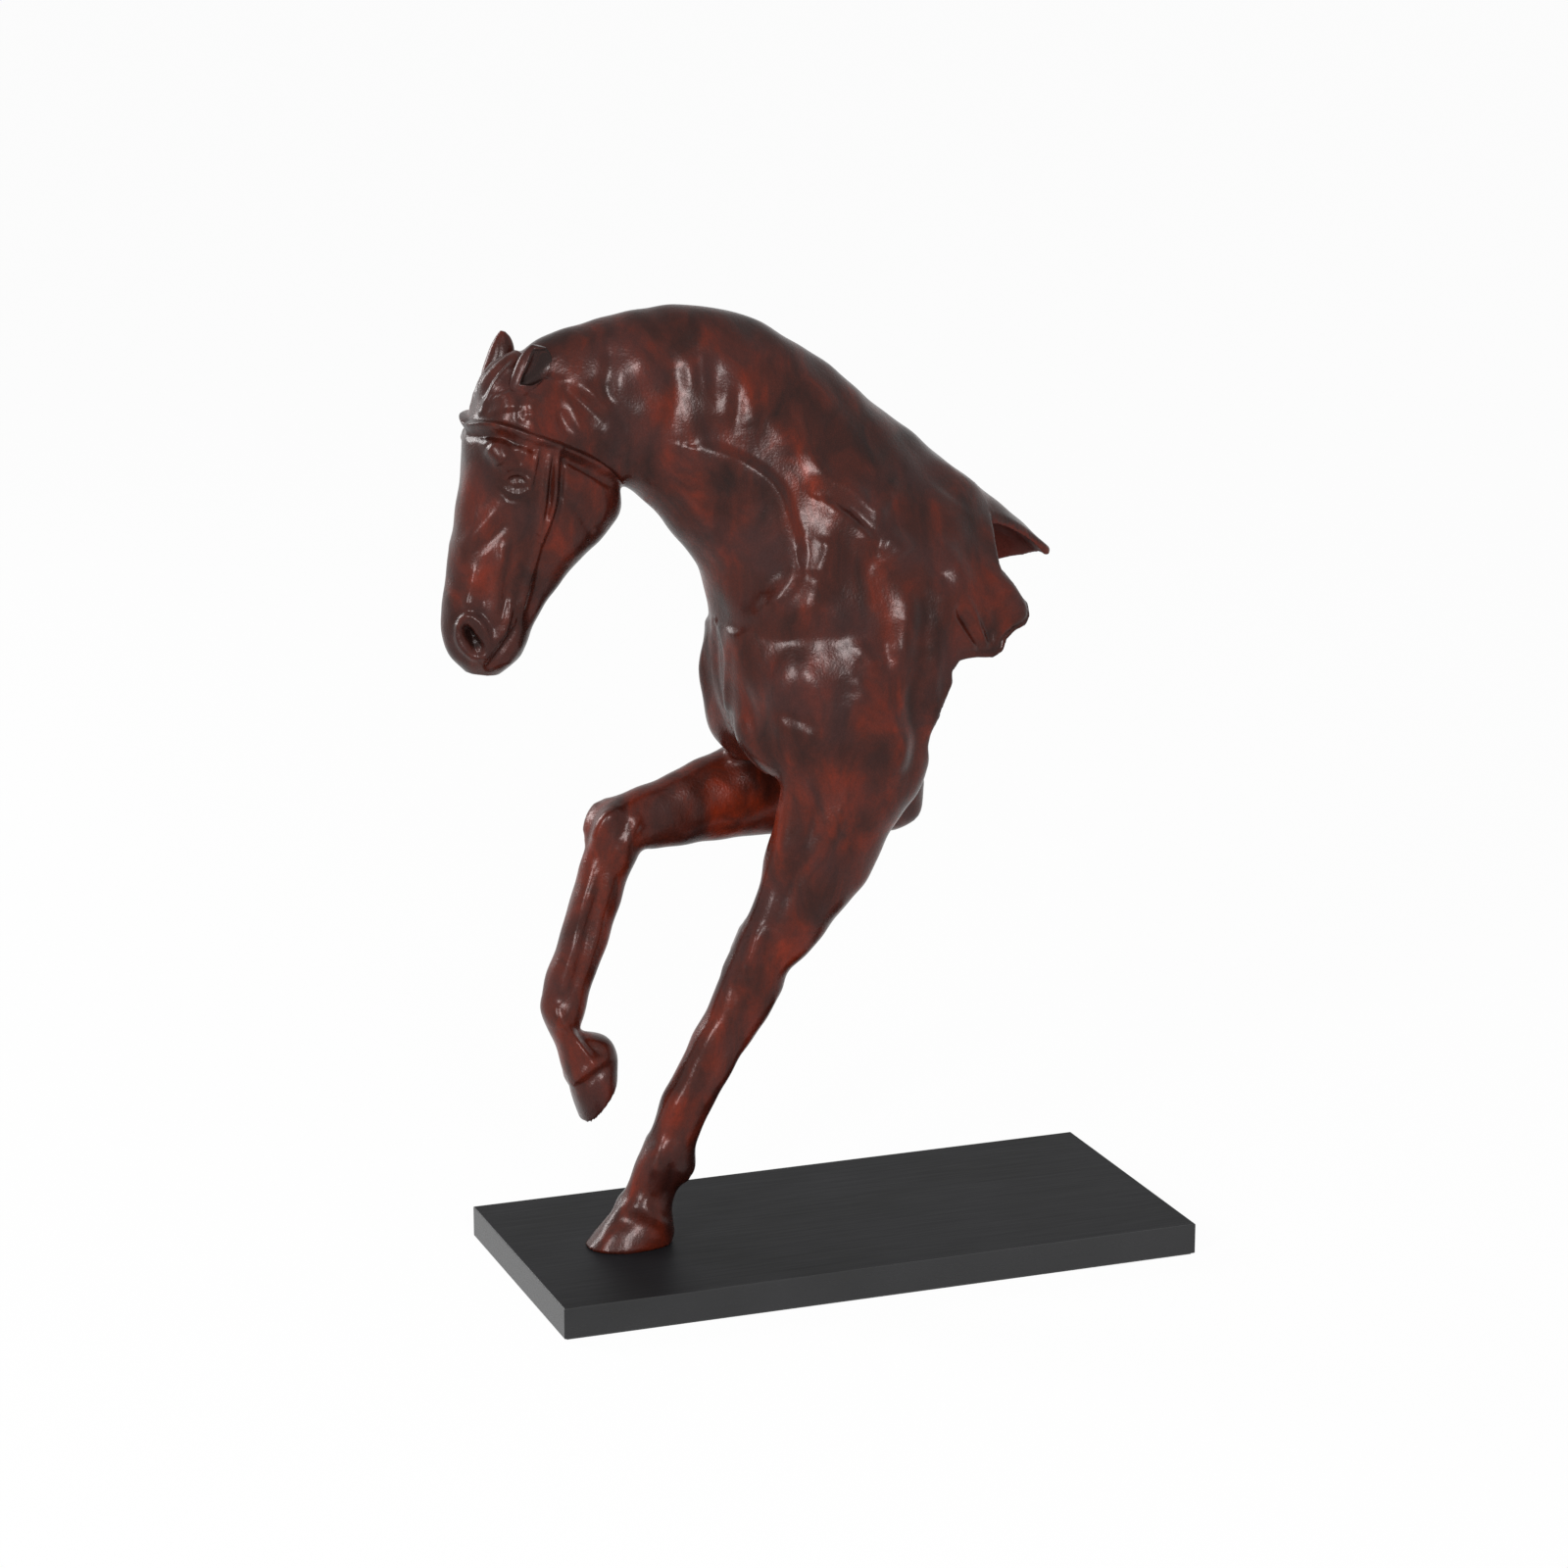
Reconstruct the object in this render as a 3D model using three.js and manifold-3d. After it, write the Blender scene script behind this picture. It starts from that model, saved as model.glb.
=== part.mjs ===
// Forepart of a trotting horse, cast in hollow sections that plug together,
// standing on one foreleg over a black base and held to it by a bent steel rod.
// Millimetres. +Z is up and the horse faces -X. The origin is the middle of the felt's underside.
// Horse outlines are in the horse's own frame: z from the base's top, y from the horse's mid-plane.
import * as THREE from "three";
import { mergeVertices } from "three/addons/utils/BufferGeometryUtils.js";
import Module from "manifold-3d";

const wasm = await Module();
wasm.setup();

// Driving dimensions: base and the felt under it
const BASE_LENGTH = 406;
const BASE_WIDTH = 186;
const BASE_THICKNESS = 19;
const FELT_THICKNESS = 1;
const FELT_MARGIN = 2;

// Driving dimensions: the horse's height over the base, and where it stands on the base
const HORSE_HEIGHT = 565;
const MIDPLANE_Y = 18;
const HOOF_INSET = 73;

// Driving dimensions: castings
const SHELL_WALL = 5;
const HEAD_WALL = 9;
const SEAM_GAP = 0.3;
const COLLAR_WALL = 3;
const COLLAR_LENGTH = 8;
const PEG_LENGTH = 12;
const LEFT_PEG_RADIUS = 7.5;
const RIGHT_PEG_RADIUS = 6;
const PEG_CLEARANCE = 0.3;
const EAR_CLEARANCE = 0.3;

// Driving dimensions: the rod that holds the planted leg to the base, and what clamps it
const ROD_DIAMETER = 8;
const ROD_CLEARANCE = 0.3;
const ROD_PROUD = 1.2;
const ROD_STRAIGHT = 8;
const COUNTERBORE_DIAMETER = 32;
const COUNTERBORE_DEPTH = 13;
const WASHER_DIAMETER = 26;
const WASHER_THICKNESS = 1.6;
const LOCK_WASHER_DIAMETER = 14.8;
const LOCK_WASHER_THICKNESS = 2;
const LOCK_WASHER_SPLIT = 1.5;
const NUT_ACROSS_FLATS = 13;
const NUT_HEIGHT = 6.8;
const DOWEL_DIAMETER = 4;
const DOWEL_DEPTH = 8;
const DOWEL_CLEARANCE = 0.3;
const DOWEL_OFFSET = 17;
const PIN_DIAMETER = 2.4;
const PIN_CLEARANCE = 0.3;
const PIN_SKIN = 1.5;
const HEAD_BORE_DEPTH = 28;

// Where the castings part, as places along the outlines below: 2.5 is halfway from station 2 to 3.
const HEAD_SEAM = 1.5;
const NECK_SEAM = 7;
const LEFT_ELBOW_SEAM = 6;
const LEFT_KNEE_SEAM = 9;
const LEFT_FETLOCK_SEAM = 15;
const RIGHT_ELBOW_SEAM = 8.3;
const RIGHT_KNEE_SEAM = 10;
const RIGHT_FETLOCK_SEAM = 16;
// The rod joins the leg's middle line at the pastern and follows it up into the torso.
const ROD_BEND_END = 19;
const ROD_END = 5.2;
const ROD_BORE_END = 4.8;

// The outlines are drawn for a horse of this height with its planted hoof here,
// and scaled to the height above.
const DRAWN_HEIGHT = 565;
const DRAWN_HOOF_X = -130;
const scale = HORSE_HEIGHT / DRAWN_HEIGHT;
const toScale = (outline) => outline.map(([x, z]) => [x * scale, z * scale]);

function stationsToScale(stations) {
  return stations.map(({ front, back, y, half, widest, power }) => {
    const ends = toScale([front, back]);
    return { front: ends[0], back: ends[1], y: y * scale, half: half * scale, widest, power };
  });
}

// Outlines. front and back are points of the side view, x and z. y is the section's middle,
// half its half width, widest how far its widest line lies from back to front, power its squareness.
const HEAD = stationsToScale([
  { front: [-196, 541], back: [-152, 531], y: 0, half: 19, widest: 0.5, power: 2 },
  { front: [-205, 529], back: [-150, 516], y: 0, half: 24, widest: 0.55, power: 2.1 },
  { front: [-214, 514], back: [-142, 497], y: 0, half: 29, widest: 0.6, power: 2.2 },
  { front: [-220, 497], back: [-134, 477], y: 0, half: 33, widest: 0.65, power: 2.3 },
  { front: [-222, 479], back: [-129, 459], y: 0, half: 32, widest: 0.6, power: 2.3 },
  { front: [-225, 462], back: [-130, 445], y: 0, half: 29, widest: 0.5, power: 2.3 },
  { front: [-227.5, 445], back: [-141, 430], y: 0, half: 25, widest: 0.5, power: 2.3 },
  { front: [-230.5, 429], back: [-157, 417], y: 0, half: 22, widest: 0.5, power: 2.3 },
  { front: [-233.5, 411], back: [-171, 400], y: 0, half: 19.5, widest: 0.5, power: 2.3 },
  { front: [-235.5, 395], back: [-182, 385], y: 0, half: 20.5, widest: 0.5, power: 2.2 },
  { front: [-236.5, 381], back: [-187, 373], y: 0, half: 19.5, widest: 0.5, power: 2.1 },
  { front: [-232, 367], back: [-192, 363], y: 0, half: 16, widest: 0.5, power: 2 },
  { front: [-223, 357], back: [-203, 355], y: 0, half: 8, widest: 0.5, power: 2 },
]);

const NECK = stationsToScale([
  { front: [-191, 539], back: [-128, 462], y: 0, half: 26, widest: 0.5, power: 2 },
  { front: [-171, 551], back: [-119, 457], y: 0, half: 28, widest: 0.48, power: 2 },
  { front: [-141, 559.5], back: [-110, 449], y: 0, half: 30, widest: 0.45, power: 2 },
  { front: [-108, 565], back: [-102, 440], y: 0, half: 32, widest: 0.42, power: 2 },
  { front: [-74, 563.5], back: [-94, 429], y: 0, half: 35, widest: 0.4, power: 2 },
  { front: [-40, 553], back: [-83, 417], y: 0, half: 39, widest: 0.4, power: 2 },
  { front: [-8, 533], back: [-75, 402], y: 0, half: 44, widest: 0.4, power: 2 },
  { front: [23, 508.5], back: [-70, 386], y: 0, half: 50, widest: 0.4, power: 2 },
  { front: [53, 483], back: [-68, 370], y: 0, half: 56, widest: 0.4, power: 2 },
  { front: [83, 460], back: [-66, 350], y: 0, half: 60, widest: 0.42, power: 2.05 },
  { front: [107, 440], back: [-63, 322], y: 0, half: 62, widest: 0.45, power: 2.1 },
  { front: [132, 420], back: [-50, 298], y: 0, half: 63, widest: 0.48, power: 2.1 },
  { front: [152, 400], back: [-15, 280], y: 0, half: 62, widest: 0.5, power: 2.1 },
  { front: [172, 384], back: [30, 270], y: 0, half: 58, widest: 0.5, power: 2.1 },
]);

const LEFT_LEG = stationsToScale([
  { front: [48, 455], back: [86, 428], y: -26, half: 10, widest: 0.5, power: 2 },
  { front: [20, 425], back: [78, 385], y: -38, half: 18, widest: 0.5, power: 2 },
  { front: [-15, 390], back: [60, 345], y: -43, half: 22, widest: 0.5, power: 2 },
  { front: [-45, 355], back: [46, 312], y: -45, half: 24, widest: 0.5, power: 2 },
  { front: [-50, 325], back: [49, 292], y: -44, half: 24, widest: 0.5, power: 2 },
  { front: [-42, 290], back: [46, 270], y: -42, half: 22, widest: 0.5, power: 2 },
  { front: [-43, 262], back: [30, 243], y: -40, half: 21, widest: 0.5, power: 2 },
  { front: [-48, 243], back: [11, 218], y: -38, half: 19, widest: 0.5, power: 2 },
  { front: [-53, 222], back: [-6, 197], y: -36, half: 17, widest: 0.5, power: 2 },
  { front: [-61, 200], back: [-20, 180], y: -34, half: 15.5, widest: 0.5, power: 2.1 },
  { front: [-69, 182], back: [-34, 166], y: -32, half: 15, widest: 0.5, power: 2.2 },
  { front: [-76, 166], back: [-40, 152], y: -31, half: 16, widest: 0.5, power: 2.3 },
  { front: [-84, 146], back: [-54, 130], y: -29, half: 13.5, widest: 0.5, power: 2.2 },
  { front: [-93, 128], back: [-66, 114], y: -28, half: 12, widest: 0.5, power: 2.1 },
  { front: [-102, 110], back: [-75, 96], y: -27, half: 11.5, widest: 0.5, power: 2.1 },
  { front: [-110, 92], back: [-84, 79], y: -25, half: 11.5, widest: 0.5, power: 2.1 },
  { front: [-117, 76], back: [-92, 61], y: -24, half: 12.5, widest: 0.5, power: 2.1 },
  { front: [-124, 61], back: [-93, 44], y: -23, half: 14.5, widest: 0.5, power: 2.1 },
  { front: [-134, 43], back: [-104, 33], y: -22, half: 12.5, widest: 0.5, power: 2.1 },
  { front: [-142, 31], back: [-106, 24], y: -21, half: 15, widest: 0.5, power: 2.1 },
  { front: [-149, 20], back: [-103, 14], y: -20, half: 19, widest: 0.5, power: 2.2 },
  { front: [-154, 10], back: [-102, 7], y: -20, half: 21.5, widest: 0.5, power: 2.2 },
  { front: [-160, 0], back: [-104, 0], y: -20, half: 23, widest: 0.5, power: 2.2 },
]);

const RIGHT_LEG = stationsToScale([
  { front: [48, 455], back: [86, 428], y: 26, half: 10, widest: 0.5, power: 2 },
  { front: [20, 425], back: [78, 385], y: 38, half: 18, widest: 0.5, power: 2 },
  { front: [-15, 390], back: [66, 345], y: 43, half: 22, widest: 0.5, power: 2 },
  { front: [-40, 352], back: [72, 300], y: 45, half: 24, widest: 0.5, power: 2 },
  { front: [-38, 316], back: [79, 250], y: 44, half: 23, widest: 0.5, power: 2 },
  { front: [-31, 299], back: [62, 228], y: 42, half: 21, widest: 0.5, power: 2 },
  { front: [-41, 291], back: [4, 231], y: 41, half: 20, widest: 0.5, power: 2 },
  { front: [-55, 285], back: [-30, 231], y: 40, half: 19, widest: 0.5, power: 2 },
  { front: [-73, 279], back: [-58, 231.5], y: 38, half: 17.5, widest: 0.5, power: 2 },
  { front: [-93, 272], back: [-79, 231], y: 36, half: 16, widest: 0.5, power: 2.1 },
  { front: [-113, 266.5], back: [-97, 230], y: 34, half: 15, widest: 0.5, power: 2.2 },
  { front: [-131, 258], back: [-105, 230], y: 33, half: 16, widest: 0.5, power: 2.3 },
  { front: [-138, 241], back: [-109, 225], y: 32, half: 15, widest: 0.5, power: 2.2 },
  { front: [-144, 225], back: [-115, 215], y: 31, half: 13, widest: 0.5, power: 2.1 },
  { front: [-150, 206], back: [-121, 199], y: 30, half: 12, widest: 0.5, power: 2.1 },
  { front: [-157, 186], back: [-129, 180], y: 29, half: 11.5, widest: 0.5, power: 2.1 },
  { front: [-164, 166], back: [-136, 162], y: 28, half: 11.5, widest: 0.5, power: 2.1 },
  { front: [-170, 148], back: [-143, 144], y: 27, half: 13, widest: 0.5, power: 2.1 },
  { front: [-172, 137], back: [-147, 132], y: 26, half: 14, widest: 0.5, power: 2.1 },
  { front: [-168, 124], back: [-148, 125], y: 25, half: 12.5, widest: 0.5, power: 2.1 },
  { front: [-163, 110], back: [-142, 121], y: 24, half: 14, widest: 0.5, power: 2.1 },
  { front: [-157, 92], back: [-131.5, 117], y: 23, half: 18, widest: 0.5, power: 2.2 },
  { front: [-153, 80], back: [-127, 108.5], y: 23, half: 20, widest: 0.5, power: 2.2 },
  { front: [-148, 66], back: [-127, 96], y: 23, half: 20, widest: 0.5, power: 2.2 },
]);

const LEFT_CHEST = stationsToScale([
  { front: [-66, 372], back: [-30, 372], y: -20, half: 14, widest: 0.5, power: 2 },
  { front: [-63, 350], back: [-5, 350], y: -22, half: 22, widest: 0.5, power: 2 },
  { front: [-62, 331], back: [5, 331], y: -23, half: 25, widest: 0.5, power: 2 },
  { front: [-57, 314], back: [10, 314], y: -23, half: 25, widest: 0.5, power: 2 },
  { front: [-50, 299], back: [10, 299], y: -23, half: 22, widest: 0.5, power: 2 },
  { front: [-34, 285], back: [5, 285], y: -23, half: 15, widest: 0.5, power: 2 },
]);

const RIGHT_CHEST = stationsToScale([
  { front: [-66, 370], back: [-30, 370], y: 20, half: 14, widest: 0.5, power: 2 },
  { front: [-67, 350], back: [-10, 350], y: 24, half: 22, widest: 0.5, power: 2 },
  { front: [-67.5, 331], back: [-5, 331], y: 25, half: 25, widest: 0.5, power: 2 },
  { front: [-65, 313], back: [-5, 313], y: 25, half: 25, widest: 0.5, power: 2 },
  { front: [-60, 298], back: [-5, 298], y: 25, half: 22, widest: 0.5, power: 2 },
  { front: [-48, 285], back: [-10, 285], y: 25, half: 15, widest: 0.5, power: 2 },
]);

const LEFT_EAR = stationsToScale([
  { front: [-200, 518], back: [-184, 516], y: -15, half: 6, widest: 0.5, power: 2 },
  { front: [-200, 527], back: [-181, 525], y: -16, half: 7, widest: 0.5, power: 2 },
  { front: [-196, 536], back: [-176, 533], y: -17, half: 6.5, widest: 0.5, power: 2 },
  { front: [-191, 544], back: [-174, 541], y: -17, half: 4.5, widest: 0.5, power: 2 },
  { front: [-186, 549], back: [-178, 547], y: -17, half: 2, widest: 0.5, power: 2 },
]);

const RIGHT_EAR = stationsToScale([
  { front: [-206, 520], back: [-188, 520], y: 14, half: 6, widest: 0.5, power: 2 },
  { front: [-205, 530], back: [-185, 530], y: 15, half: 7, widest: 0.5, power: 2 },
  { front: [-200, 541], back: [-185, 541], y: 15.5, half: 6, widest: 0.5, power: 2 },
  { front: [-196, 549], back: [-187, 548], y: 15.5, half: 3.5, widest: 0.5, power: 2 },
  { front: [-193, 553], back: [-190, 552], y: 15.5, half: 1.5, widest: 0.5, power: 2 },
]);

// The torn back edge, from the withers down to the elbow, on the horse's left and right sides.
const LEFT_TEAR = toScale([
  [150, 420], [137, 402], [112, 399], [101, 404], [102, 394], [112, 385], [115, 377], [108, 369],
  [93, 361], [78, 355], [64, 353], [57, 345], [56, 334], [51, 324], [48, 314], [47, 302], [49, 290],
  [48, 274], [48, 190],
]);
const RIGHT_TEAR = toScale([
  [150, 420], [137, 402], [122, 399], [116, 404], [122, 394], [134, 384], [140, 372], [132, 360],
  [120, 352], [112, 344], [104, 338], [98, 330], [98, 318], [94, 306], [88, 296], [90, 286], [86, 272],
  [86, 258], [86, 190],
]);
const TEAR_OUTSIDE_X = 260;
const TEAR_BLEND_Y = 45;
const TEAR_REACH_Y = 130;

// How far a collar's inside lies in from the outside of the castings it joins
const COLLAR_BORE = SHELL_WALL + SEAM_GAP + COLLAR_WALL;

// Triangle counts
const ROUND_SIDES = 12;
const BODY_SIDES = 24;
const LEG_SIDES = 14;
const EAR_SIDES = 10;
const DISC_SIDES = 24;
const ROD_STEPS = 24;

function catmullRom(a, b, c, d, t) {
  return b + 0.5 * t * (c - a + t * (2 * a - 5 * b + 4 * c - d + t * (3 * (b - c) + d - a)));
}

function numbersOf(station) {
  return [...station.front, ...station.back, station.y, station.half, station.widest, station.power];
}

// The section at any place along an outline, on one smooth curve through all its stations.
function sectionAt(stations, place) {
  const last = stations.length - 1;
  const i = Math.max(0, Math.min(Math.floor(place), last - 1));
  const near = [i - 1, i, i + 1, i + 2].map((k) => numbersOf(stations[Math.min(Math.max(k, 0), last)]));
  const [fx, fz, bx, bz, y, half, widest, power] = near[0].map((_, k) =>
    catmullRom(near[0][k], near[1][k], near[2][k], near[3][k], place - i),
  );
  return { front: [fx, fz], back: [bx, bz], y, half, widest, power };
}

function centreOf(section) {
  const [fx, fz] = section.front;
  const [bx, bz] = section.back;
  return new THREE.Vector3((fx + bx) / 2, section.y, (fz + bz) / 2);
}

// The place that lies a distance further along an outline's middle line.
function placeBeyond(stations, place, distance) {
  const step = 0.1;
  const before = centreOf(sectionAt(stations, place - step));
  const stretch = before.distanceTo(centreOf(sectionAt(stations, place + step)));
  return place + (distance * 2 * step) / stretch;
}

function directionAt(stations, place) {
  const step = 0.1;
  const before = centreOf(sectionAt(stations, place - step));
  return centreOf(sectionAt(stations, place + step)).sub(before).normalize();
}

// The rim of a section, drawn in by inset all round.
function rimOf(section, sides, inset = 0) {
  const front = new THREE.Vector2(...section.front);
  const back = new THREE.Vector2(...section.back);
  const depth = front.distanceTo(back);
  const along = front.clone().sub(back).divideScalar(depth);
  const middle = back.clone().lerp(front, section.widest);
  return Array.from({ length: sides }, (_, k) => {
    const angle = (2 * Math.PI * k) / sides;
    const c = Math.cos(angle);
    const s = Math.sin(angle);
    const reach = (c > 0 ? 1 - section.widest : section.widest) * depth - inset;
    const u = Math.sign(c) * Math.abs(c) ** (2 / section.power) * reach;
    const v = Math.sign(s) * Math.abs(s) ** (2 / section.power) * (section.half - inset);
    return new THREE.Vector3(middle.x + along.x * u, section.y + v, middle.y + along.y * u);
  });
}

// A closed body over rings of points, with a fan over each end.
function skin(rings) {
  const sides = rings[0].length;
  const points = rings.flat();
  const index = [];
  for (let r = 0; r + 1 < rings.length; r++)
    for (let k = 0; k < sides; k++) {
      const a = r * sides + k;
      const b = r * sides + ((k + 1) % sides);
      index.push(a, b, b + sides, a, b + sides, a + sides);
    }
  for (const [ring, turned] of [[0, false], [rings.length - 1, true]]) {
    const middle = new THREE.Vector3();
    rings[ring].forEach((p) => middle.addScaledVector(p, 1 / sides));
    points.push(middle);
    for (let k = 0; k < sides; k++) {
      const a = ring * sides + k;
      const b = ring * sides + ((k + 1) % sides);
      index.push(points.length - 1, ...(turned ? [a, b] : [b, a]));
    }
  }
  return new THREE.BufferGeometry().setFromPoints(points).setIndex(index);
}

function loft(stations, from, to, { sides = BODY_SIDES, perSpan = 1.5, inset = 0 } = {}) {
  const count = Math.max(2, Math.ceil((to - from) * perSpan) + 1);
  const places = Array.from({ length: count }, (_, r) => from + ((to - from) * r) / (count - 1));
  return skin(places.map((place) => rimOf(sectionAt(stations, place), sides, inset)));
}

// A straight collar that carries a seam's section on, past the seam or back from it.
function collar(stations, place, inset, back, ahead, sides = BODY_SIDES) {
  const rim = rimOf(sectionAt(stations, place), sides, inset);
  const way = directionAt(stations, place);
  return skin([-back, ahead].map((shift) => rim.map((p) => p.clone().addScaledVector(way, shift))));
}

// A tube between two places along a curve that keeps near one XZ plane, or runs straight along Y.
function tube(curve, radius, from, to, steps, sides = ROUND_SIDES) {
  return skin(
    Array.from({ length: steps + 1 }, (_, r) => {
      const at = from + ((to - from) * r) / steps;
      const way = curve.getTangentAt(at);
      const across = Math.abs(way.y) > 0.9 ? new THREE.Vector3(1, 0, 0) : new THREE.Vector3(0, 1, 0);
      const out = new THREE.Vector3().crossVectors(way, across).normalize();
      const side = new THREE.Vector3().crossVectors(way, out);
      return Array.from({ length: sides }, (_, k) => {
        const angle = (2 * Math.PI * k) / sides;
        const outward = out.clone().multiplyScalar(Math.cos(angle)).addScaledVector(side, Math.sin(angle));
        return curve.getPointAt(at).addScaledVector(outward, radius);
      });
    }),
  );
}

function rodAlong(from, to, radius, sides = ROUND_SIDES) {
  return tube(new THREE.LineCurve3(from, to), radius, 0, 1, 1, sides);
}

function solidOf(geometry) {
  const bare = geometry.clone();
  bare.deleteAttribute("normal");
  bare.deleteAttribute("uv");
  const merged = mergeVertices(bare, 1e-4);
  const p = merged.attributes.position;
  const triVerts = new Uint32Array(merged.index.array);
  const corners = [new THREE.Vector3(), new THREE.Vector3(), new THREE.Vector3()];
  let volume = 0;
  for (let i = 0; i < triVerts.length; i += 3) {
    corners.forEach((corner, k) => corner.fromBufferAttribute(p, triVerts[i + k]));
    volume += corners[0].dot(corners[1].clone().cross(corners[2]));
  }
  if (volume < 0)
    for (let i = 0; i < triVerts.length; i += 3)
      [triVerts[i], triVerts[i + 1]] = [triVerts[i + 1], triVerts[i]];
  return new wasm.Manifold(new wasm.Mesh({ numProp: 3, vertProperties: p.array, triVerts }));
}

function geometryOf(solid) {
  const mesh = solid.getMesh();
  const positions = new Float32Array(mesh.numVert * 3);
  for (let i = 0; i < mesh.numVert; i++)
    positions.set(mesh.vertProperties.subarray(i * mesh.numProp, i * mesh.numProp + 3), i * 3);
  const geometry = new THREE.BufferGeometry();
  geometry.setAttribute("position", new THREE.BufferAttribute(positions, 3));
  geometry.setIndex(new THREE.BufferAttribute(new Uint32Array(mesh.triVerts), 1));
  geometry.computeVertexNormals();
  return geometry;
}

const join = (...geometries) => geometries.map(solidOf).reduce((a, b) => a.add(b));
const cut = (solid, ...geometries) => geometries.map(solidOf).reduce((a, b) => a.subtract(b), solid);

function upright(radius, bottom, top, x, y, sides = ROUND_SIDES) {
  return rodAlong(new THREE.Vector3(x, y, bottom), new THREE.Vector3(x, y, top), radius, sides);
}

const bronze = new THREE.MeshStandardMaterial({ color: 0x4a2018, roughness: 0.35, metalness: 0.6 });
const black = new THREE.MeshStandardMaterial({ color: 0x1c1c1e, roughness: 0.5, metalness: 0.1 });
const steel = new THREE.MeshStandardMaterial({ color: 0x9a9c9e, roughness: 0.4, metalness: 0.9 });
const felt = new THREE.MeshStandardMaterial({ color: 0x141414, roughness: 1, metalness: 0 });

const BASE_TOP = FELT_THICKNESS + BASE_THICKNESS;
const hoofX = DRAWN_HOOF_X * scale;
const dowelX = hoofX - DOWEL_OFFSET;
const sculpture = new THREE.Group();
const horse = new THREE.Group();
horse.position.set(HOOF_INSET - BASE_LENGTH / 2 - hoofX, MIDPLANE_Y, BASE_TOP);
sculpture.add(horse);

function add(group, name, geometry, material) {
  const mesh = new THREE.Mesh(geometry, material);
  mesh.name = name;
  group.add(mesh);
  return mesh;
}

// The rod runs straight up through the base and the hoof, then up the middle of the planted leg.
const hoofY = sectionAt(LEFT_LEG, LEFT_LEG.length - 1).y;
const web = BASE_THICKNESS - COUNTERBORE_DEPTH;
const stack = web + WASHER_THICKNESS + LOCK_WASHER_THICKNESS + NUT_HEIGHT + ROD_PROUD;
const rodHeights = [-stack, -stack / 2, 0, ROD_STRAIGHT];
const rodPoints = rodHeights.map((z) => new THREE.Vector3(hoofX, hoofY, z));
for (let place = ROD_BEND_END; place > ROD_END; place -= 1)
  rodPoints.push(centreOf(sectionAt(LEFT_LEG, place)));
rodPoints.push(centreOf(sectionAt(LEFT_LEG, ROD_END)), centreOf(sectionAt(LEFT_LEG, ROD_BORE_END)));
const rodCurve = new THREE.CatmullRomCurve3(rodPoints, false, "centripetal");
const rodTop = 1 - (ROD_END - ROD_BORE_END) / (ROD_BEND_END - ROD_BORE_END);
const endGap = ROD_CLEARANCE / rodCurve.getLength();
const rodBore = tube(rodCurve, ROD_DIAMETER / 2 + ROD_CLEARANCE, 0, rodTop + endGap, ROD_STEPS);

function peg(stations, place, radius, extra) {
  const at = centreOf(sectionAt(stations, place));
  const way = directionAt(stations, place);
  const root = at.clone().addScaledVector(way, radius / 2);
  return rodAlong(root, at.clone().addScaledVector(way, -(PEG_LENGTH + extra)), radius + extra);
}

// A leg casting between two seams, with a peg on its upper end and a socket in its lower one.
function legCasting(stations, upper, lower, pegRadius) {
  const last = stations.length - 1;
  const from = placeBeyond(stations, upper, SEAM_GAP / 2);
  const to = lower < last ? placeBeyond(stations, lower, -SEAM_GAP / 2) : last;
  const solid = join(loft(stations, from, to, { sides: LEG_SIDES }), peg(stations, upper, pegRadius, 0));
  return lower < last ? cut(solid, peg(stations, lower, pegRadius, PEG_CLEARANCE)) : solid;
}

// A pin across a pegged seam, in a blind hole that stops short of the far skin.
function crossPin(stations, seam, extra) {
  const place = placeBeyond(stations, seam, -PEG_LENGTH / 2);
  const section = sectionAt(stations, place);
  const at = centreOf(section);
  const reach = section.half - PIN_SKIN - PIN_CLEARANCE + extra;
  const end = new THREE.Vector3(0, reach, 0);
  return rodAlong(at.clone().sub(end), at.clone().add(end), PIN_DIAMETER / 2 + extra, 12);
}

// Two short pins, left and right, through a collar and into the wall around it but not its skin.
function collarPins(seam, extra) {
  const section = sectionAt(NECK, placeBeyond(NECK, seam, COLLAR_LENGTH / 2));
  const [x, z] = section.back.map((b, k) => b + (section.front[k] - b) * section.widest);
  const inner = sectionAt(NECK, seam).half - COLLAR_BORE - extra;
  const outer = section.half - PIN_SKIN - PIN_CLEARANCE + extra;
  return [-1, 1].map((side) =>
    rodAlong(
      new THREE.Vector3(x, side * inner, z),
      new THREE.Vector3(x, side * outer, z),
      PIN_DIAMETER / 2 + extra,
    ),
  );
}

function headCasting() {
  const seam = placeBeyond(NECK, HEAD_SEAM, -SEAM_GAP / 2);
  const outside = join(
    loft(HEAD, 0, HEAD.length - 1),
    loft(NECK, 0, seam),
    collar(NECK, HEAD_SEAM, SHELL_WALL + SEAM_GAP, SHELL_WALL, COLLAR_LENGTH),
  );
  return cut(
    outside,
    loft(HEAD, 2, 7, { inset: HEAD_WALL, sides: LEG_SIDES }),
    collar(NECK, HEAD_SEAM, COLLAR_BORE, HEAD_BORE_DEPTH, COLLAR_LENGTH + 1),
    ...collarPins(HEAD_SEAM, PIN_CLEARANCE),
    loft(LEFT_EAR, 0, LEFT_EAR.length - 1, { sides: EAR_SIDES, inset: -EAR_CLEARANCE }),
    loft(RIGHT_EAR, 0, RIGHT_EAR.length - 1, { sides: EAR_SIDES, inset: -EAR_CLEARANCE }),
  );
}

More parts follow.
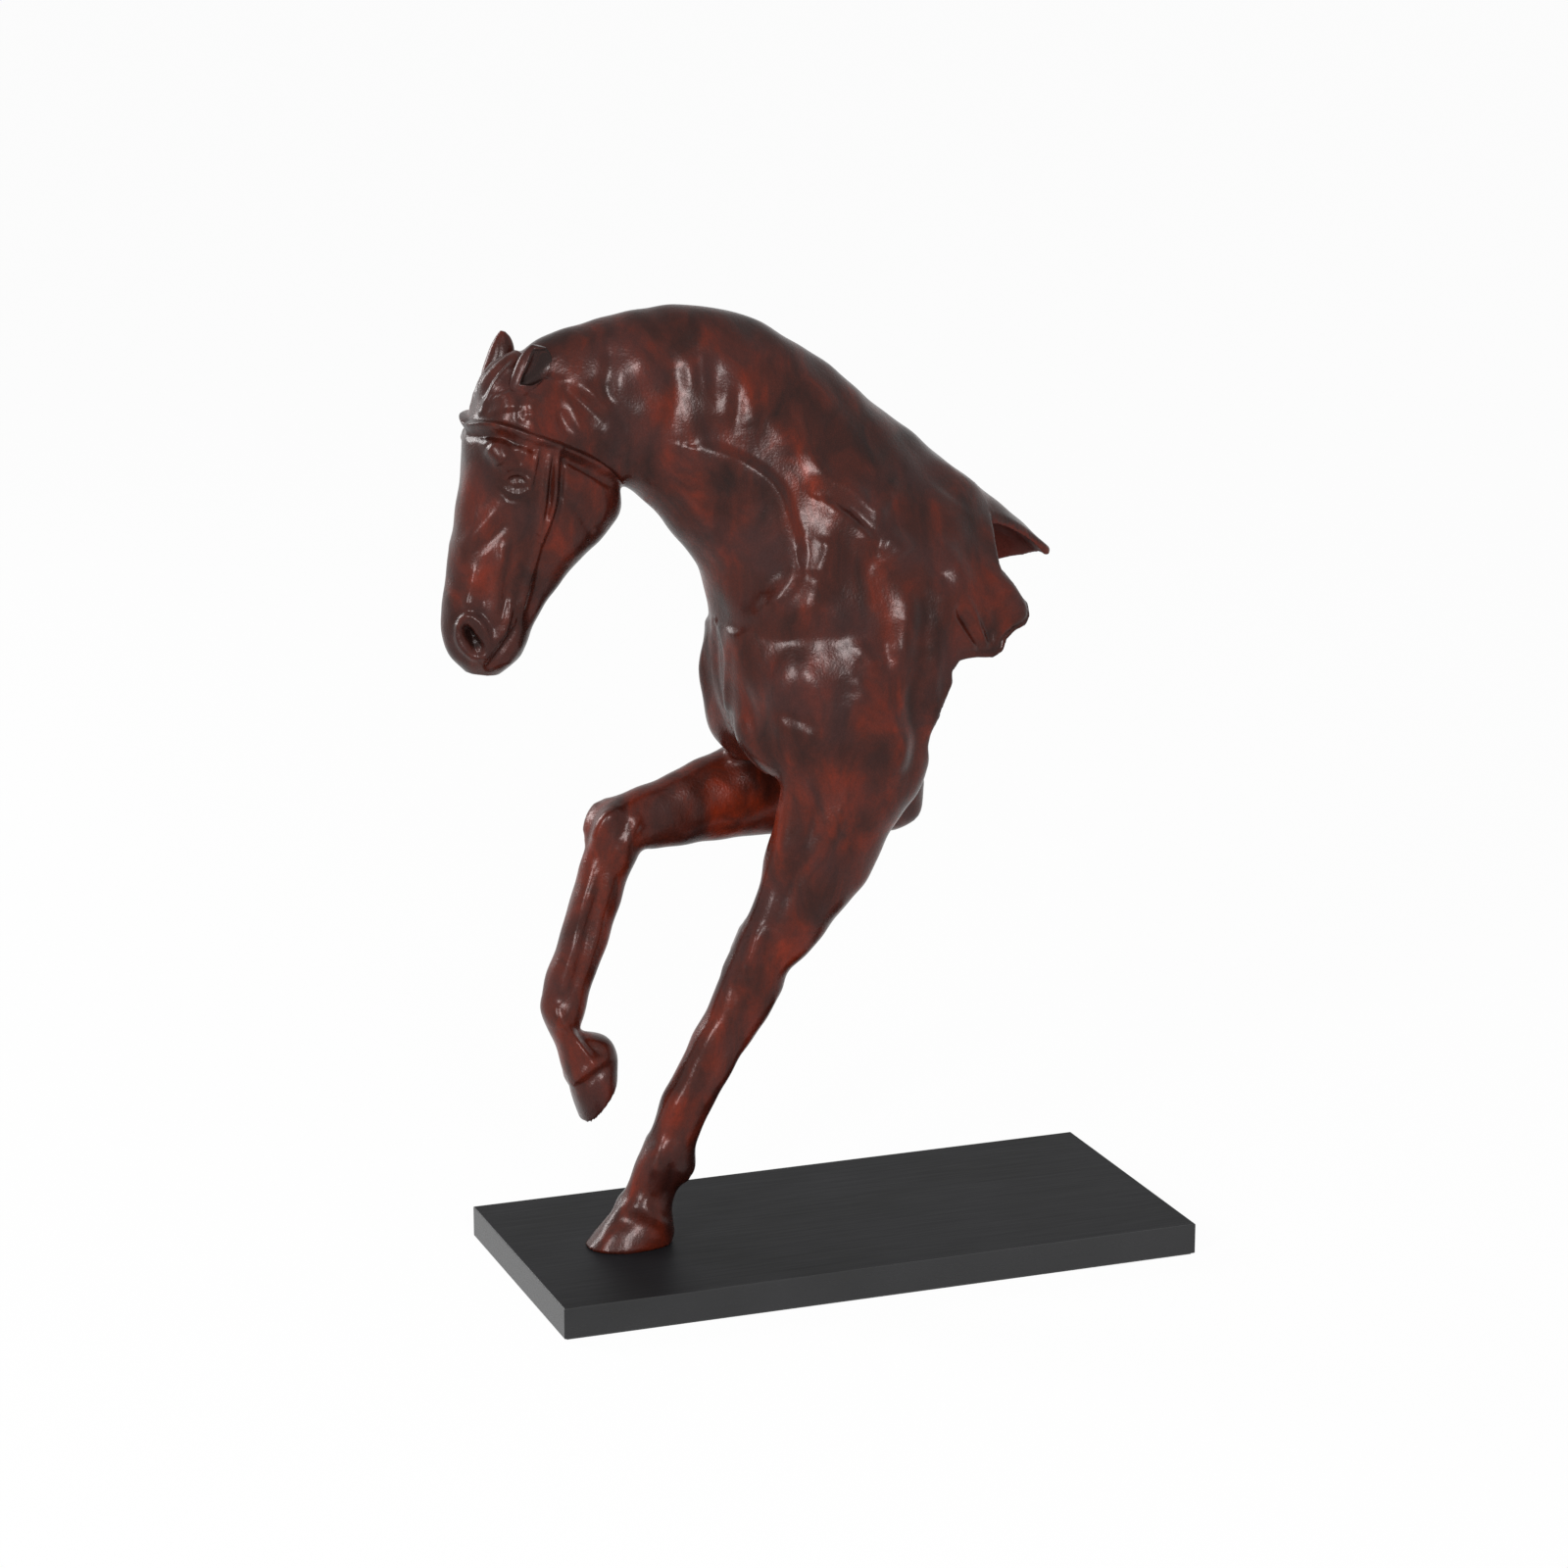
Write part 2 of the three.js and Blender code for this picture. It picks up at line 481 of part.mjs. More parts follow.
function neckCasting() {
  const from = placeBeyond(NECK, HEAD_SEAM, SEAM_GAP / 2);
  const to = placeBeyond(NECK, NECK_SEAM, -SEAM_GAP / 2);
  const outside = join(
    loft(NECK, from, to),
    collar(NECK, NECK_SEAM, SHELL_WALL + SEAM_GAP, SHELL_WALL, COLLAR_LENGTH),
  );
  const hollowEnd = placeBeyond(NECK, NECK_SEAM, -COLLAR_LENGTH);
  return cut(
    outside,
    loft(NECK, HEAD_SEAM - 0.1, hollowEnd, { inset: SHELL_WALL }),
    collar(NECK, NECK_SEAM, COLLAR_BORE, COLLAR_LENGTH + 1, COLLAR_LENGTH + 1),
    ...collarPins(HEAD_SEAM, PIN_CLEARANCE),
    ...collarPins(NECK_SEAM, PIN_CLEARANCE),
  );
}

// Triangles over a flat outline, turning the same way as the outline does.
function trianglesOf(outline) {
  const points = outline.map(([x, z]) => new THREE.Vector2(x, z));
  const way = Math.sign(THREE.ShapeUtils.area(points));
  return THREE.ShapeUtils.triangulateShape(points, []).map(([a, b, c]) => {
    const same = Math.sign(THREE.ShapeUtils.area([points[a], points[b], points[c]])) === way;
    return same ? [a, b, c] : [a, c, b];
  });
}

// What lies behind the torn edge: a wall between the left outline and the right one.
function tearCutter() {
  const closed = (outline) => {
    const [top, bottom] = [outline[0], outline.at(-1)];
    return [...outline, [TEAR_OUTSIDE_X, bottom[1]], [TEAR_OUTSIDE_X, top[1]]];
  };
  const left = closed(LEFT_TEAR);
  const right = closed(RIGHT_TEAR);
  const layers = [
    [-TEAR_REACH_Y, left],
    [-TEAR_BLEND_Y, left],
    [TEAR_BLEND_Y, right],
    [TEAR_REACH_Y, right],
  ];
  const sides = left.length;
  const points = layers.flatMap(([y, outline]) => outline.map(([x, z]) => new THREE.Vector3(x, y, z)));
  const index = [];
  for (let r = 0; r + 1 < layers.length; r++)
    for (let k = 0; k < sides; k++) {
      const a = r * sides + k;
      const b = r * sides + ((k + 1) % sides);
      index.push(a, b, b + sides, a, b + sides, a + sides);
    }
  const end = (layers.length - 1) * sides;
  for (const [a, b, c] of trianglesOf(left)) index.push(a, c, b);
  for (const [a, b, c] of trianglesOf(right)) index.push(end + a, end + b, end + c);
  return new THREE.BufferGeometry().setFromPoints(points).setIndex(index);
}

function torsoCasting() {
  const last = NECK.length - 1;
  const from = placeBeyond(NECK, NECK_SEAM, SEAM_GAP / 2);
  const legs = { sides: LEG_SIDES };
  const outside = join(
    loft(NECK, from, last),
    loft(LEFT_LEG, 0, placeBeyond(LEFT_LEG, LEFT_ELBOW_SEAM, -SEAM_GAP / 2), legs),
    loft(RIGHT_LEG, 0, placeBeyond(RIGHT_LEG, RIGHT_ELBOW_SEAM, -SEAM_GAP / 2), legs),
    loft(LEFT_CHEST, 0, LEFT_CHEST.length - 1, legs),
    loft(RIGHT_CHEST, 0, RIGHT_CHEST.length - 1, legs),
  );
  return cut(
    outside,
    loft(NECK, NECK_SEAM - 0.1, last, { inset: SHELL_WALL }),
    tearCutter(),
    peg(LEFT_LEG, LEFT_ELBOW_SEAM, LEFT_PEG_RADIUS, PEG_CLEARANCE),
    peg(RIGHT_LEG, RIGHT_ELBOW_SEAM, RIGHT_PEG_RADIUS, PEG_CLEARANCE),
    rodBore,
    crossPin(RIGHT_LEG, RIGHT_ELBOW_SEAM, PIN_CLEARANCE),
    ...collarPins(NECK_SEAM, PIN_CLEARANCE),
  );
}

add(horse, "head_casting", geometryOf(headCasting()), bronze);
for (const [name, ear] of [["left_ear", LEFT_EAR], ["right_ear", RIGHT_EAR]])
  add(horse, name, geometryOf(join(loft(ear, 0, ear.length - 1, { sides: EAR_SIDES }))), bronze);
add(horse, "neck_casting", geometryOf(neckCasting()), bronze);
add(horse, "torso_shell", geometryOf(torsoCasting()), bronze);
for (const [name, seam] of [["head_seam_pin", HEAD_SEAM], ["neck_seam_pin", NECK_SEAM]])
  collarPins(seam, 0).forEach((pin, i) => {
    add(horse, `${name}_${["left", "right"][i]}`, geometryOf(join(pin)), bronze);
  });

const leftLast = LEFT_LEG.length - 1;
const leftPieces = [
  ["left_forearm", LEFT_ELBOW_SEAM, LEFT_KNEE_SEAM],
  ["left_knee_and_cannon", LEFT_KNEE_SEAM, LEFT_FETLOCK_SEAM],
  ["left_pastern_and_hoof", LEFT_FETLOCK_SEAM, leftLast],
];
for (const [name, upper, lower] of leftPieces) {
  let solid = cut(legCasting(LEFT_LEG, upper, lower, LEFT_PEG_RADIUS), rodBore);
  if (lower === leftLast)
    solid = cut(
      solid,
      upright(DOWEL_DIAMETER / 2 + DOWEL_CLEARANCE, -1, DOWEL_DEPTH + DOWEL_CLEARANCE, dowelX, hoofY),
    );
  add(horse, name, geometryOf(solid), bronze);
}

const rightSeams = [RIGHT_ELBOW_SEAM, RIGHT_KNEE_SEAM, RIGHT_FETLOCK_SEAM];
const rightNames = ["right_forearm", "right_knee_and_cannon", "right_pastern_and_hoof"];
const rightPins = ["right_elbow_pin", "right_knee_pin", "right_fetlock_pin"];
rightSeams.forEach((seam, i) => {
  const lower = rightSeams[i + 1] ?? RIGHT_LEG.length - 1;
  const holes = rightSeams.map((place) => crossPin(RIGHT_LEG, place, PIN_CLEARANCE));
  const casting = cut(legCasting(RIGHT_LEG, seam, lower, RIGHT_PEG_RADIUS), ...holes);
  add(horse, rightNames[i], geometryOf(casting), bronze);
  add(horse, rightPins[i], geometryOf(join(crossPin(RIGHT_LEG, seam, 0))), bronze);
});

// Base, with a counterbore under the hoof for the nut, and a blind hole for the dowel
function basePlate() {
  const block = new THREE.BoxGeometry(BASE_LENGTH, BASE_WIDTH, BASE_THICKNESS);
  block.translate(0, 0, FELT_THICKNESS + BASE_THICKNESS / 2);
  const x = horse.position.x + hoofX;
  const y = MIDPLANE_Y + hoofY;
  const dowelBottom = BASE_TOP - DOWEL_DEPTH - DOWEL_CLEARANCE;
  const counterboreTop = FELT_THICKNESS + COUNTERBORE_DEPTH;
  return cut(
    join(block),
    upright(ROD_DIAMETER / 2 + ROD_CLEARANCE, 0, BASE_TOP + 1, x, y),
    upright(COUNTERBORE_DIAMETER / 2, 0, counterboreTop, x, y, DISC_SIDES),
    upright(DOWEL_DIAMETER / 2 + DOWEL_CLEARANCE, dowelBottom, BASE_TOP + 1, x - DOWEL_OFFSET, y),
  );
}

function ring(outer, inner, height, sides) {
  return cut(join(upright(outer, 0, height, 0, 0, sides)), upright(inner, -1, height + 1, 0, 0));
}

add(sculpture, "base_plate", geometryOf(basePlate()), black);
const [feltLength, feltWidth] = [BASE_LENGTH, BASE_WIDTH].map((size) => size - 2 * FELT_MARGIN);
const sheet = new THREE.BoxGeometry(feltLength, feltWidth, FELT_THICKNESS);
add(sculpture, "felt_sheet", sheet.translate(0, 0, FELT_THICKNESS / 2), felt);

const hardware = new THREE.Group();
hardware.position.set(horse.position.x + hoofX, MIDPLANE_Y + hoofY, FELT_THICKNESS + COUNTERBORE_DEPTH);
sculpture.add(hardware);
const boltHole = ROD_DIAMETER / 2 + ROD_CLEARANCE;
const plainRing = ring(WASHER_DIAMETER / 2, boltHole, WASHER_THICKNESS, DISC_SIDES);
const washer = add(hardware, "fender_washer", geometryOf(plainRing), steel);
washer.position.z = -WASHER_THICKNESS;
const split = new THREE.BoxGeometry(LOCK_WASHER_DIAMETER, LOCK_WASHER_SPLIT, 3 * LOCK_WASHER_THICKNESS);
split.translate(LOCK_WASHER_DIAMETER / 2, 0, 0);
const springRing = cut(ring(LOCK_WASHER_DIAMETER / 2, boltHole, LOCK_WASHER_THICKNESS, DISC_SIDES), split);
const springWasher = add(hardware, "lock_washer", geometryOf(springRing), steel);
springWasher.position.z = washer.position.z - LOCK_WASHER_THICKNESS;
const nutRadius = NUT_ACROSS_FLATS / 2 / Math.cos(Math.PI / 6);
const nut = add(hardware, "hex_nut", geometryOf(ring(nutRadius, boltHole, NUT_HEIGHT, 6)), steel);
nut.position.z = springWasher.position.z - NUT_HEIGHT;

const rod = join(tube(rodCurve, ROD_DIAMETER / 2, 0, rodTop, ROD_STEPS));
add(horse, "armature_rod", geometryOf(rod), steel);
const dowel = join(upright(DOWEL_DIAMETER / 2, -DOWEL_DEPTH, DOWEL_DEPTH, dowelX, hoofY));
add(horse, "hoof_dowel", geometryOf(dowel), steel);

export default sculpture;
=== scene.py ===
"""Forepart of a trotting horse, bronze with a mottled brown and oxblood patina, on a black lacquered base.

The horse is modelled in millimetres in its own frame: it faces -x, y runs from its mid-plane to its far
side, and z is the height over the base's top. Each casting is a field of distances to its lofted outlines,
melted together, turned into a mesh, worked over with tool marks and sawn off square at its seams.
"""
import math
from functools import partial
import bmesh
import bpy
import numpy as np
import openvdb as vdb
from mathutils import Matrix, Vector


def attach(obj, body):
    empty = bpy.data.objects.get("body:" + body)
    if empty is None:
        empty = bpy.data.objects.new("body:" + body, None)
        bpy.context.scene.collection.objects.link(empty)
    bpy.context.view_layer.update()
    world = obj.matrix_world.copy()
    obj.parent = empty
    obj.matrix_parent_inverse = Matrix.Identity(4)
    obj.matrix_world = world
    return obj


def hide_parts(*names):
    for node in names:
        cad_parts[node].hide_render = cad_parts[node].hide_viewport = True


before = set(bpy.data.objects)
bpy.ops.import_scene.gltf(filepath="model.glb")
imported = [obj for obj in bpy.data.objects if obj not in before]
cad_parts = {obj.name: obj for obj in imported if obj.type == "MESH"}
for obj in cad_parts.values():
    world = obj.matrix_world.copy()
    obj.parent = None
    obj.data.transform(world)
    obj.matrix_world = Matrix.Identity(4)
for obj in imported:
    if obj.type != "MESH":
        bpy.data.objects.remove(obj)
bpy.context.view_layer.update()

# Where the horse's own frame sits in the part, in millimetres
BASE_TOP = 20
MIDPLANE_Y = 18
HORSE_ORIGIN = np.array([0, MIDPLANE_Y, BASE_TOP])
HORSE_TO_PART = Matrix.Scale(0.001, 4) @ Matrix.Translation([float(v) for v in HORSE_ORIGIN])

# Camera, from the base's edges in the photograph
PHOTO_PIXELS = 1600
LENS = 96.67
SENSOR = 36
FOCAL_PIXELS = LENS / SENSOR * PHOTO_PIXELS
CAMERA_PLACE = np.array([-889.8, -2286.1, 914.6])
CAMERA_TURN = math.radians(20.57)
CAMERA_DIP = math.radians(14.191)
VIEW_AHEAD = np.array([
    math.sin(CAMERA_TURN) * math.cos(CAMERA_DIP),
    math.cos(CAMERA_TURN) * math.cos(CAMERA_DIP),
    -math.sin(CAMERA_DIP),
])
VIEW_RIGHT = np.array([math.cos(CAMERA_TURN), -math.sin(CAMERA_TURN), 0])
VIEW_UP = np.cross(VIEW_RIGHT, VIEW_AHEAD)

# Walls and collar of the castings, in millimetres
SHELL_WALL = 5
COLLAR_INSET = 5.2
COLLAR_WALL = 3
COLLAR_LENGTH = 8
# Where the castings are sawn apart and where the hollow starts, counted in sections along the outlines.
# A leg has its seams at elbow, knee and fetlock.
HEAD_SEAM = 1.5
NECK_SEAM = 7
LEFT_SEAMS = (6, 9, 15)
RIGHT_SEAMS = (8.3, 10, 16)
HOLLOW_START = 1.7


def sections(rows):
    """An outline's sections. What a row leaves out is an ellipse's squareness and a widest place midway."""
    usual = (2, 0.5)
    return np.array([(*row, *usual[len(row) - 6 :]) for row in rows])


# Outlines. Each row is one section of the form: the x and z of its front and of its back in side view, the y
# of its middle, its half width, its squareness, and where it is widest from back to front.
HEAD = sections([
    (-196, 541, -152, 531, 0, 19),
    (-205, 529, -150, 516, 0, 24, 2.1, 0.55),
    (-214, 514, -142, 497, 0, 29, 2.2, 0.6),
    (-220, 497, -134, 477, 0, 33, 2.3, 0.65),
    (-222, 479, -129, 459, 0, 32, 2.3, 0.6),
    (-225, 462, -130, 445, 0, 29, 2.3),
    (-227.5, 445, -141, 430, 0, 25, 2.3),
    (-230.5, 429, -157, 417, 0, 22, 2.3),
    (-233.5, 411, -171, 400, 0, 19.5, 2.3),
    (-235.5, 395, -182, 385, 0, 20.5, 2.2),
    (-236.5, 381, -187, 373, 0, 19.5, 2.1),
    (-232, 367, -192, 363, 0, 16),
    (-223, 357, -203, 355, 0, 8),
])
NECK = sections([
    (-191, 539, -128, 462, 0, 26),
    (-171, 551, -119, 457, 0, 28, 2, 0.48),
    (-141, 559.5, -110, 449, 0, 30, 2, 0.45),
    (-108, 565, -102, 440, 0, 32, 2, 0.42),
    (-74, 563.5, -94, 429, 0, 35, 2, 0.4),
    (-40, 553, -83, 417, 0, 39, 2, 0.4),
    (-8, 533, -75, 402, 0, 44, 2, 0.4),
    (23, 508.5, -70, 386, 0, 50, 2, 0.4),
    (53, 483, -68, 370, 0, 56, 2, 0.4),
    (83, 460, -66, 350, 0, 60, 2.05, 0.42),
    (107, 440, -63, 322, 0, 62, 2.1, 0.45),
    (132, 420, -50, 298, 0, 63, 2.1, 0.48),
    (152, 400, -15, 280, 0, 62, 2.1),
    (172, 384, 30, 270, 0, 58, 2.1),
])
LEFT_LEG = sections([
    (48, 455, 86, 428, -26, 10),
    (20, 425, 78, 385, -38, 18),
    (-15, 390, 60, 345, -43, 22),
    (-45, 355, 46, 312, -45, 24),
    (-50, 325, 49, 292, -44, 24),
    (-42, 290, 44, 272, -42, 22),
    (-43, 262, 25, 246, -40, 21),
    (-48, 243, 11, 218, -38, 19),
    (-53, 222, -6, 197, -36, 17),
    (-61, 200, -20, 180, -34, 15.5, 2.1),
    (-69, 182, -34, 166, -32, 15, 2.2),
    (-76, 166, -40, 152, -31, 16, 2.3),
    (-84, 146, -54, 130, -29, 13.5, 2.2),
    (-93, 128, -66, 114, -28, 12, 2.5),
    (-102, 110, -75, 96, -27, 11.5, 2.5),
    (-110, 92, -84, 79, -25, 11.5, 2.5),
    (-117, 76, -92, 61, -24, 12.5, 2.1),
    (-124, 61, -93, 44, -23, 14.5, 2.1),
    (-131, 43, -103, 32, -22, 12, 2.1),
    (-136, 31, -107, 22, -21, 13.5, 2.1),
    (-142, 20, -106, 13, -20, 16.5, 2.2),
    (-151, 10, -104.5, 6, -20, 18, 2.2),
    (-160.5, 0, -106, 0, -20, 19, 2.2),
])
RIGHT_LEG = sections([
    (48, 455, 86, 428, 26, 10),
    (20, 425, 78, 385, 38, 18),
    (-15, 390, 66, 345, 43, 22),
    (-40, 352, 72, 300, 45, 24),
    (-38, 316, 84, 250, 44, 23),
    (-31, 299, 67, 226, 42, 21),
    (-41, 291, 4, 231, 41, 20),
    (-55, 285, -30, 231, 40, 19),
    (-73, 279, -58, 231.5, 38, 17.5),
    (-93, 272, -79, 231, 36, 16, 2.1),
    (-113, 266.5, -97, 230, 34, 15, 2.2),
    (-131, 258, -105, 230, 33, 16, 2.3),
    (-138, 241, -109, 225, 32, 15, 2.2),
    (-144, 225, -115, 215, 31, 13, 2.1),
    (-150, 206, -121, 199, 30, 12, 2.5),
    (-157, 186, -129, 180, 29, 11.5, 2.5),
    (-164, 166, -136, 162, 28, 11.5, 2.5),
    (-170, 148, -143, 144, 27, 13, 2.1),
    (-172, 137, -147, 132, 26, 14, 2.1),
    (-168, 124, -148, 125, 25, 12.5, 2.1),
    (-163, 110, -142, 121, 24, 14, 2.1),
    (-157, 92, -131.5, 117, 23, 18, 2.2),
    (-153, 80, -127, 108.5, 23, 20, 2.2),
    (-148, 66, -127, 96, 23, 20, 2.2),
])
LEFT_CHEST = sections([
    (-66, 372, -30, 372, -20, 14),
    (-63, 350, -5, 350, -22, 22),
    (-62, 331, 5, 331, -23, 25),
    (-64, 314, 10, 314, -24, 25),
    (-60, 300, 10, 300, -26, 24),
    (-48, 287, 5, 287, -27, 20),
])
RIGHT_CHEST = sections([
    (-66, 370, -30, 370, 20, 14),
    (-67, 350, -10, 350, 24, 22),
    (-67.5, 331, -5, 331, 25, 25),
    (-65, 313, -5, 313, 25, 25),
    (-60, 298, -5, 298, 25, 22),
    (-48, 285, -10, 285, 25, 15),
])
LEFT_EAR = sections([
    (-200, 518, -184, 516, -15, 6),
    (-200, 527, -181, 525, -16, 7),
    (-196, 536, -176, 533, -17, 6.5),
    (-191, 544, -174, 541, -17, 4.5),
    (-186, 549, -178, 547, -17, 2),
])
RIGHT_EAR = sections([
    (-206, 520, -188, 520, 14, 6),
    (-205, 530, -185, 530, 15, 7),
    (-200, 541, -185, 541, 15.5, 6),
    (-196, 549, -187, 548, 15.5, 3.5),
    (-193, 553, -190, 552, 15.5, 1.5),
])
FORELOCK = sections([
    (-190.5, 543.5, -184, 537, -3, 5),
    (-197, 540, -188, 531, -3, 9),
    (-203, 534, -192, 525, -3, 12),
    (-208, 527, -196, 519, -3, 13),
    (-210.5, 519, -200, 512, -3, 11),
])
# What is scooped out of the outer side of each ear
LEFT_EAR_OPENING = sections([
    (-195, 528, -188, 527, -26, 3.5),
    (-193.5, 533, -177, 531, -26, 5),
    (-191, 538, -171, 536, -26, 6),
    (-189, 543, -169, 541, -26, 6),
    (-187, 547, -173, 546, -25, 4.5),
])
RIGHT_EAR_OPENING = sections([
    (-199, 532, -194, 531, 22, 3.5),
    (-197, 537, -190, 536, 22, 5),
    (-195, 542, -188, 541, 22, 5),
    (-193, 547, -188, 546, 21, 3.5),
])
# How far each ear stands out from its drawn place, in mm
EAR_STAND_OFF = 3

# The torn back edge, from the withers down to the elbow, on the horse's left and right sides
LEFT_TEAR = [
    (104, 470), (101, 446), (97, 436), (95, 420), (96, 405), (101, 398), (107, 390), (113, 383), (113, 376),
    (109, 371), (101, 368), (95, 364), (92, 357), (86, 354), (75, 355), (63, 354), (58, 348), (59, 341),
    (56, 333), (51, 324), (48, 314), (47, 302), (49, 290), (48, 274), (48, 190),
]
RIGHT_TEAR = [
    (150, 420), (146, 405), (140, 397), (124, 391), (125, 388), (134, 384), (140, 372), (132, 360),
    (120, 352), (112, 344), (104, 338), (98, 330), (98, 318), (94, 306), (88, 296), (90, 286), (86, 272),
    (86, 258), (86, 190),
]
# The y between which one tear turns into the other, an x clear of the horse, and how round the edge is
TEAR_NEAR_Y = -28
TEAR_FAR_Y = -6
TEAR_OUTSIDE_X = 260
TEAR_LIP = 2.5

# How many voxels deep a field is kept on both sides of a surface, and how finely a loft is divided
FIELD_DEPTH = 8
LOFT_SIDES = 96
RINGS_PER_SPAN = 8


def section_at(stations, place):
    """The section at any place along an outline, on one smooth curve through all its stations."""
    last = len(stations) - 1
    i = max(0, min(math.floor(place), last - 1))
    a, b, c, d = (stations[min(max(k, 0), last)] for k in (i - 1, i, i + 1, i + 2))
    t = place - i
    return b + 0.5 * t * (c - a + t * (2 * a - 5 * b + 4 * c - d + t * (3 * (b - c) + d - a)))


def middle_of(section):
    front_x, front_z, back_x, back_z, y = section[:5]
    return np.array([(front_x + back_x) / 2, y, (front_z + back_z) / 2])


def way_along(stations, place):
    """The direction of an outline's middle line."""
    step = 0.1
    way = middle_of(section_at(stations, place + step)) - middle_of(section_at(stations, place - step))
    return way / np.linalg.norm(way)


def rim(stations, place, inset=0.0, sides=LOFT_SIDES):
    """Points round a section, drawn in by inset."""
    front_x, front_z, back_x, back_z, y, half, power, widest = section_at(stations, place)
    front, back = np.array([front_x, front_z]), np.array([back_x, back_z])
    depth = np.linalg.norm(front - back)
    along = (front - back) / depth
    middle = back + (front - back) * widest
    angle = np.linspace(0, 2 * math.pi, sides, endpoint=False)
    c, s = np.cos(angle), np.sin(angle)
    reach = np.where(c > 0, 1 - widest, widest) * depth - inset
    u = np.sign(c) * np.abs(c) ** (2 / power) * reach
    v = np.sign(s) * np.abs(s) ** (2 / power) * (half - inset)
    return np.stack([middle[0] + along[0] * u, y + v, middle[1] + along[1] * u], 1)


def skin(rings):
    """Points and triangles of a closed body over rings of points, with a fan over each end."""
    count, sides = rings.shape[:2]
    points = np.concatenate([rings.reshape(-1, 3), rings[[0, -1]].mean(axis=1)])
    k = np.arange(sides)
    n = (k + 1) % sides
    start = np.arange(count - 1)[:, None] * sides
    a, b = start + k, start + n
    walls = np.stack([a, b, b + sides, a, b + sides, a + sides], -1).reshape(-1, 3)
    end = (count - 1) * sides
    near_fan = np.stack([np.full(sides, count * sides), n, k], -1)
    far_fan = np.stack([np.full(sides, count * sides + 1), k + end, n + end], -1)
    return points, np.concatenate([walls, near_fan, far_fan])


def loft(stations, start=0.0, end=None, inset=0.0, shift=(0, 0, 0)):
    end = len(stations) - 1 if end is None else end
    places = np.linspace(start, end, max(2, round((end - start) * RINGS_PER_SPAN)))
    return skin(np.array([rim(stations, place, inset) for place in places]) + np.array(shift))


class Room:
    """A box of space in which distances are kept on a grid of voxels."""

    def __init__(self, low, high, voxel):
        self.voxel = voxel
        self.first = tuple(math.floor(v / voxel) for v in low)
        last = [math.ceil(v / voxel) for v in high]
        self.shape = tuple(b - a + 1 for a, b in zip(self.first, last))

    def axis(self, k):
        return (np.arange(self.shape[k]) + self.first[k]) * self.voxel

    def distances(self, body):
        """Distances to a closed body, below zero inside it."""
        points, triangles = body
        grid = vdb.FloatGrid.createLevelSetFromPolygons(
            points.astype(np.float32),
            triangles=triangles.astype(np.uint32),
            transform=vdb.createLinearTransform(voxelSize=self.voxel),
            halfWidth=FIELD_DEPTH,
        )
        field = np.empty(self.shape, np.float32)
        grid.copyToArray(field, ijk=self.first)
        return field

    def sample(self, field, points):
        """The field's value at the voxel nearest to each point."""
        cells = np.round(points / self.voxel).astype(int) - self.first
        x, y, z = np.clip(cells, 0, np.array(self.shape) - 1).T
        return field[x, y, z]

    def surface(self, field):
        """Points and four-cornered faces of the surface where the field is zero."""
        grid = vdb.FloatGrid(FIELD_DEPTH * self.voxel)
        grid.copyFromArray(field, ijk=self.first)
        grid.transform = vdb.createLinearTransform(voxelSize=self.voxel)
        points, quads = grid.convertToQuads(isovalue=0.0)
        points = points.astype(float)
        a, b, c, d = (points[quads[:, k]] for k in range(4))
        if np.einsum("ij,ij->", a, np.cross(c - a, d - b)) < 0:
            quads = quads[:, ::-1]
        return points, quads.astype(int)


def melt(a, b, reach):
    """The union of two fields, with a fillet of about that reach where they meet."""
    share = np.clip(0.5 + 0.5 * (b - a) / reach, 0, 1)
    return b + (a - b) * share - reach * share * (1 - share)


def carve(a, b, reach):
    """What is left of one field outside another, with a rounded edge."""
    return -melt(-a, b, reach)


def melt_all(room, bodies, reach):
    field = room.distances(bodies[0])
    for body in bodies[1:]:
        field = melt(field, room.distances(body), reach)
    return field


def outline_distance(x, z, outline):
    """Distance in side view to a closed outline, below zero inside it."""
    corners = np.array(outline, float)
    nearest = np.full(np.broadcast(x, z).shape, np.inf)
    inside = np.zeros(nearest.shape, bool)
    for (ax, az), (bx, bz) in zip(corners, np.roll(corners, -1, axis=0)):
        t = np.clip(((x - ax) * (bx - ax) + (z - az) * (bz - az)) / ((bx - ax) ** 2 + (bz - az) ** 2), 0, 1)
        nearest = np.minimum(nearest, np.hypot(x - ax - t * (bx - ax), z - az - t * (bz - az)))
        if az != bz:
            crossing = ((az > z) != (bz > z)) & (x < ax + (z - az) * (bx - ax) / (bz - az))
            inside ^= crossing
    return np.where(inside, -nearest, nearest)


def torn_away(room):
    """The space behind the torn edge, which runs from the left outline over to the right one."""
    x, z = room.axis(0)[:, None], room.axis(2)[None, :]
    left, right = (
        outline_distance(x, z, [*tear, (TEAR_OUTSIDE_X, tear[-1][1]), (TEAR_OUTSIDE_X, tear[0][1])])
        for tear in (LEFT_TEAR, RIGHT_TEAR)
    )
    share = np.clip((room.axis(1) - TEAR_NEAR_Y) / (TEAR_FAR_Y - TEAR_NEAR_Y), 0, 1)[None, :, None]
    return ((1 - share) * left[:, None, :] + share * right[:, None, :]).astype(np.float32)


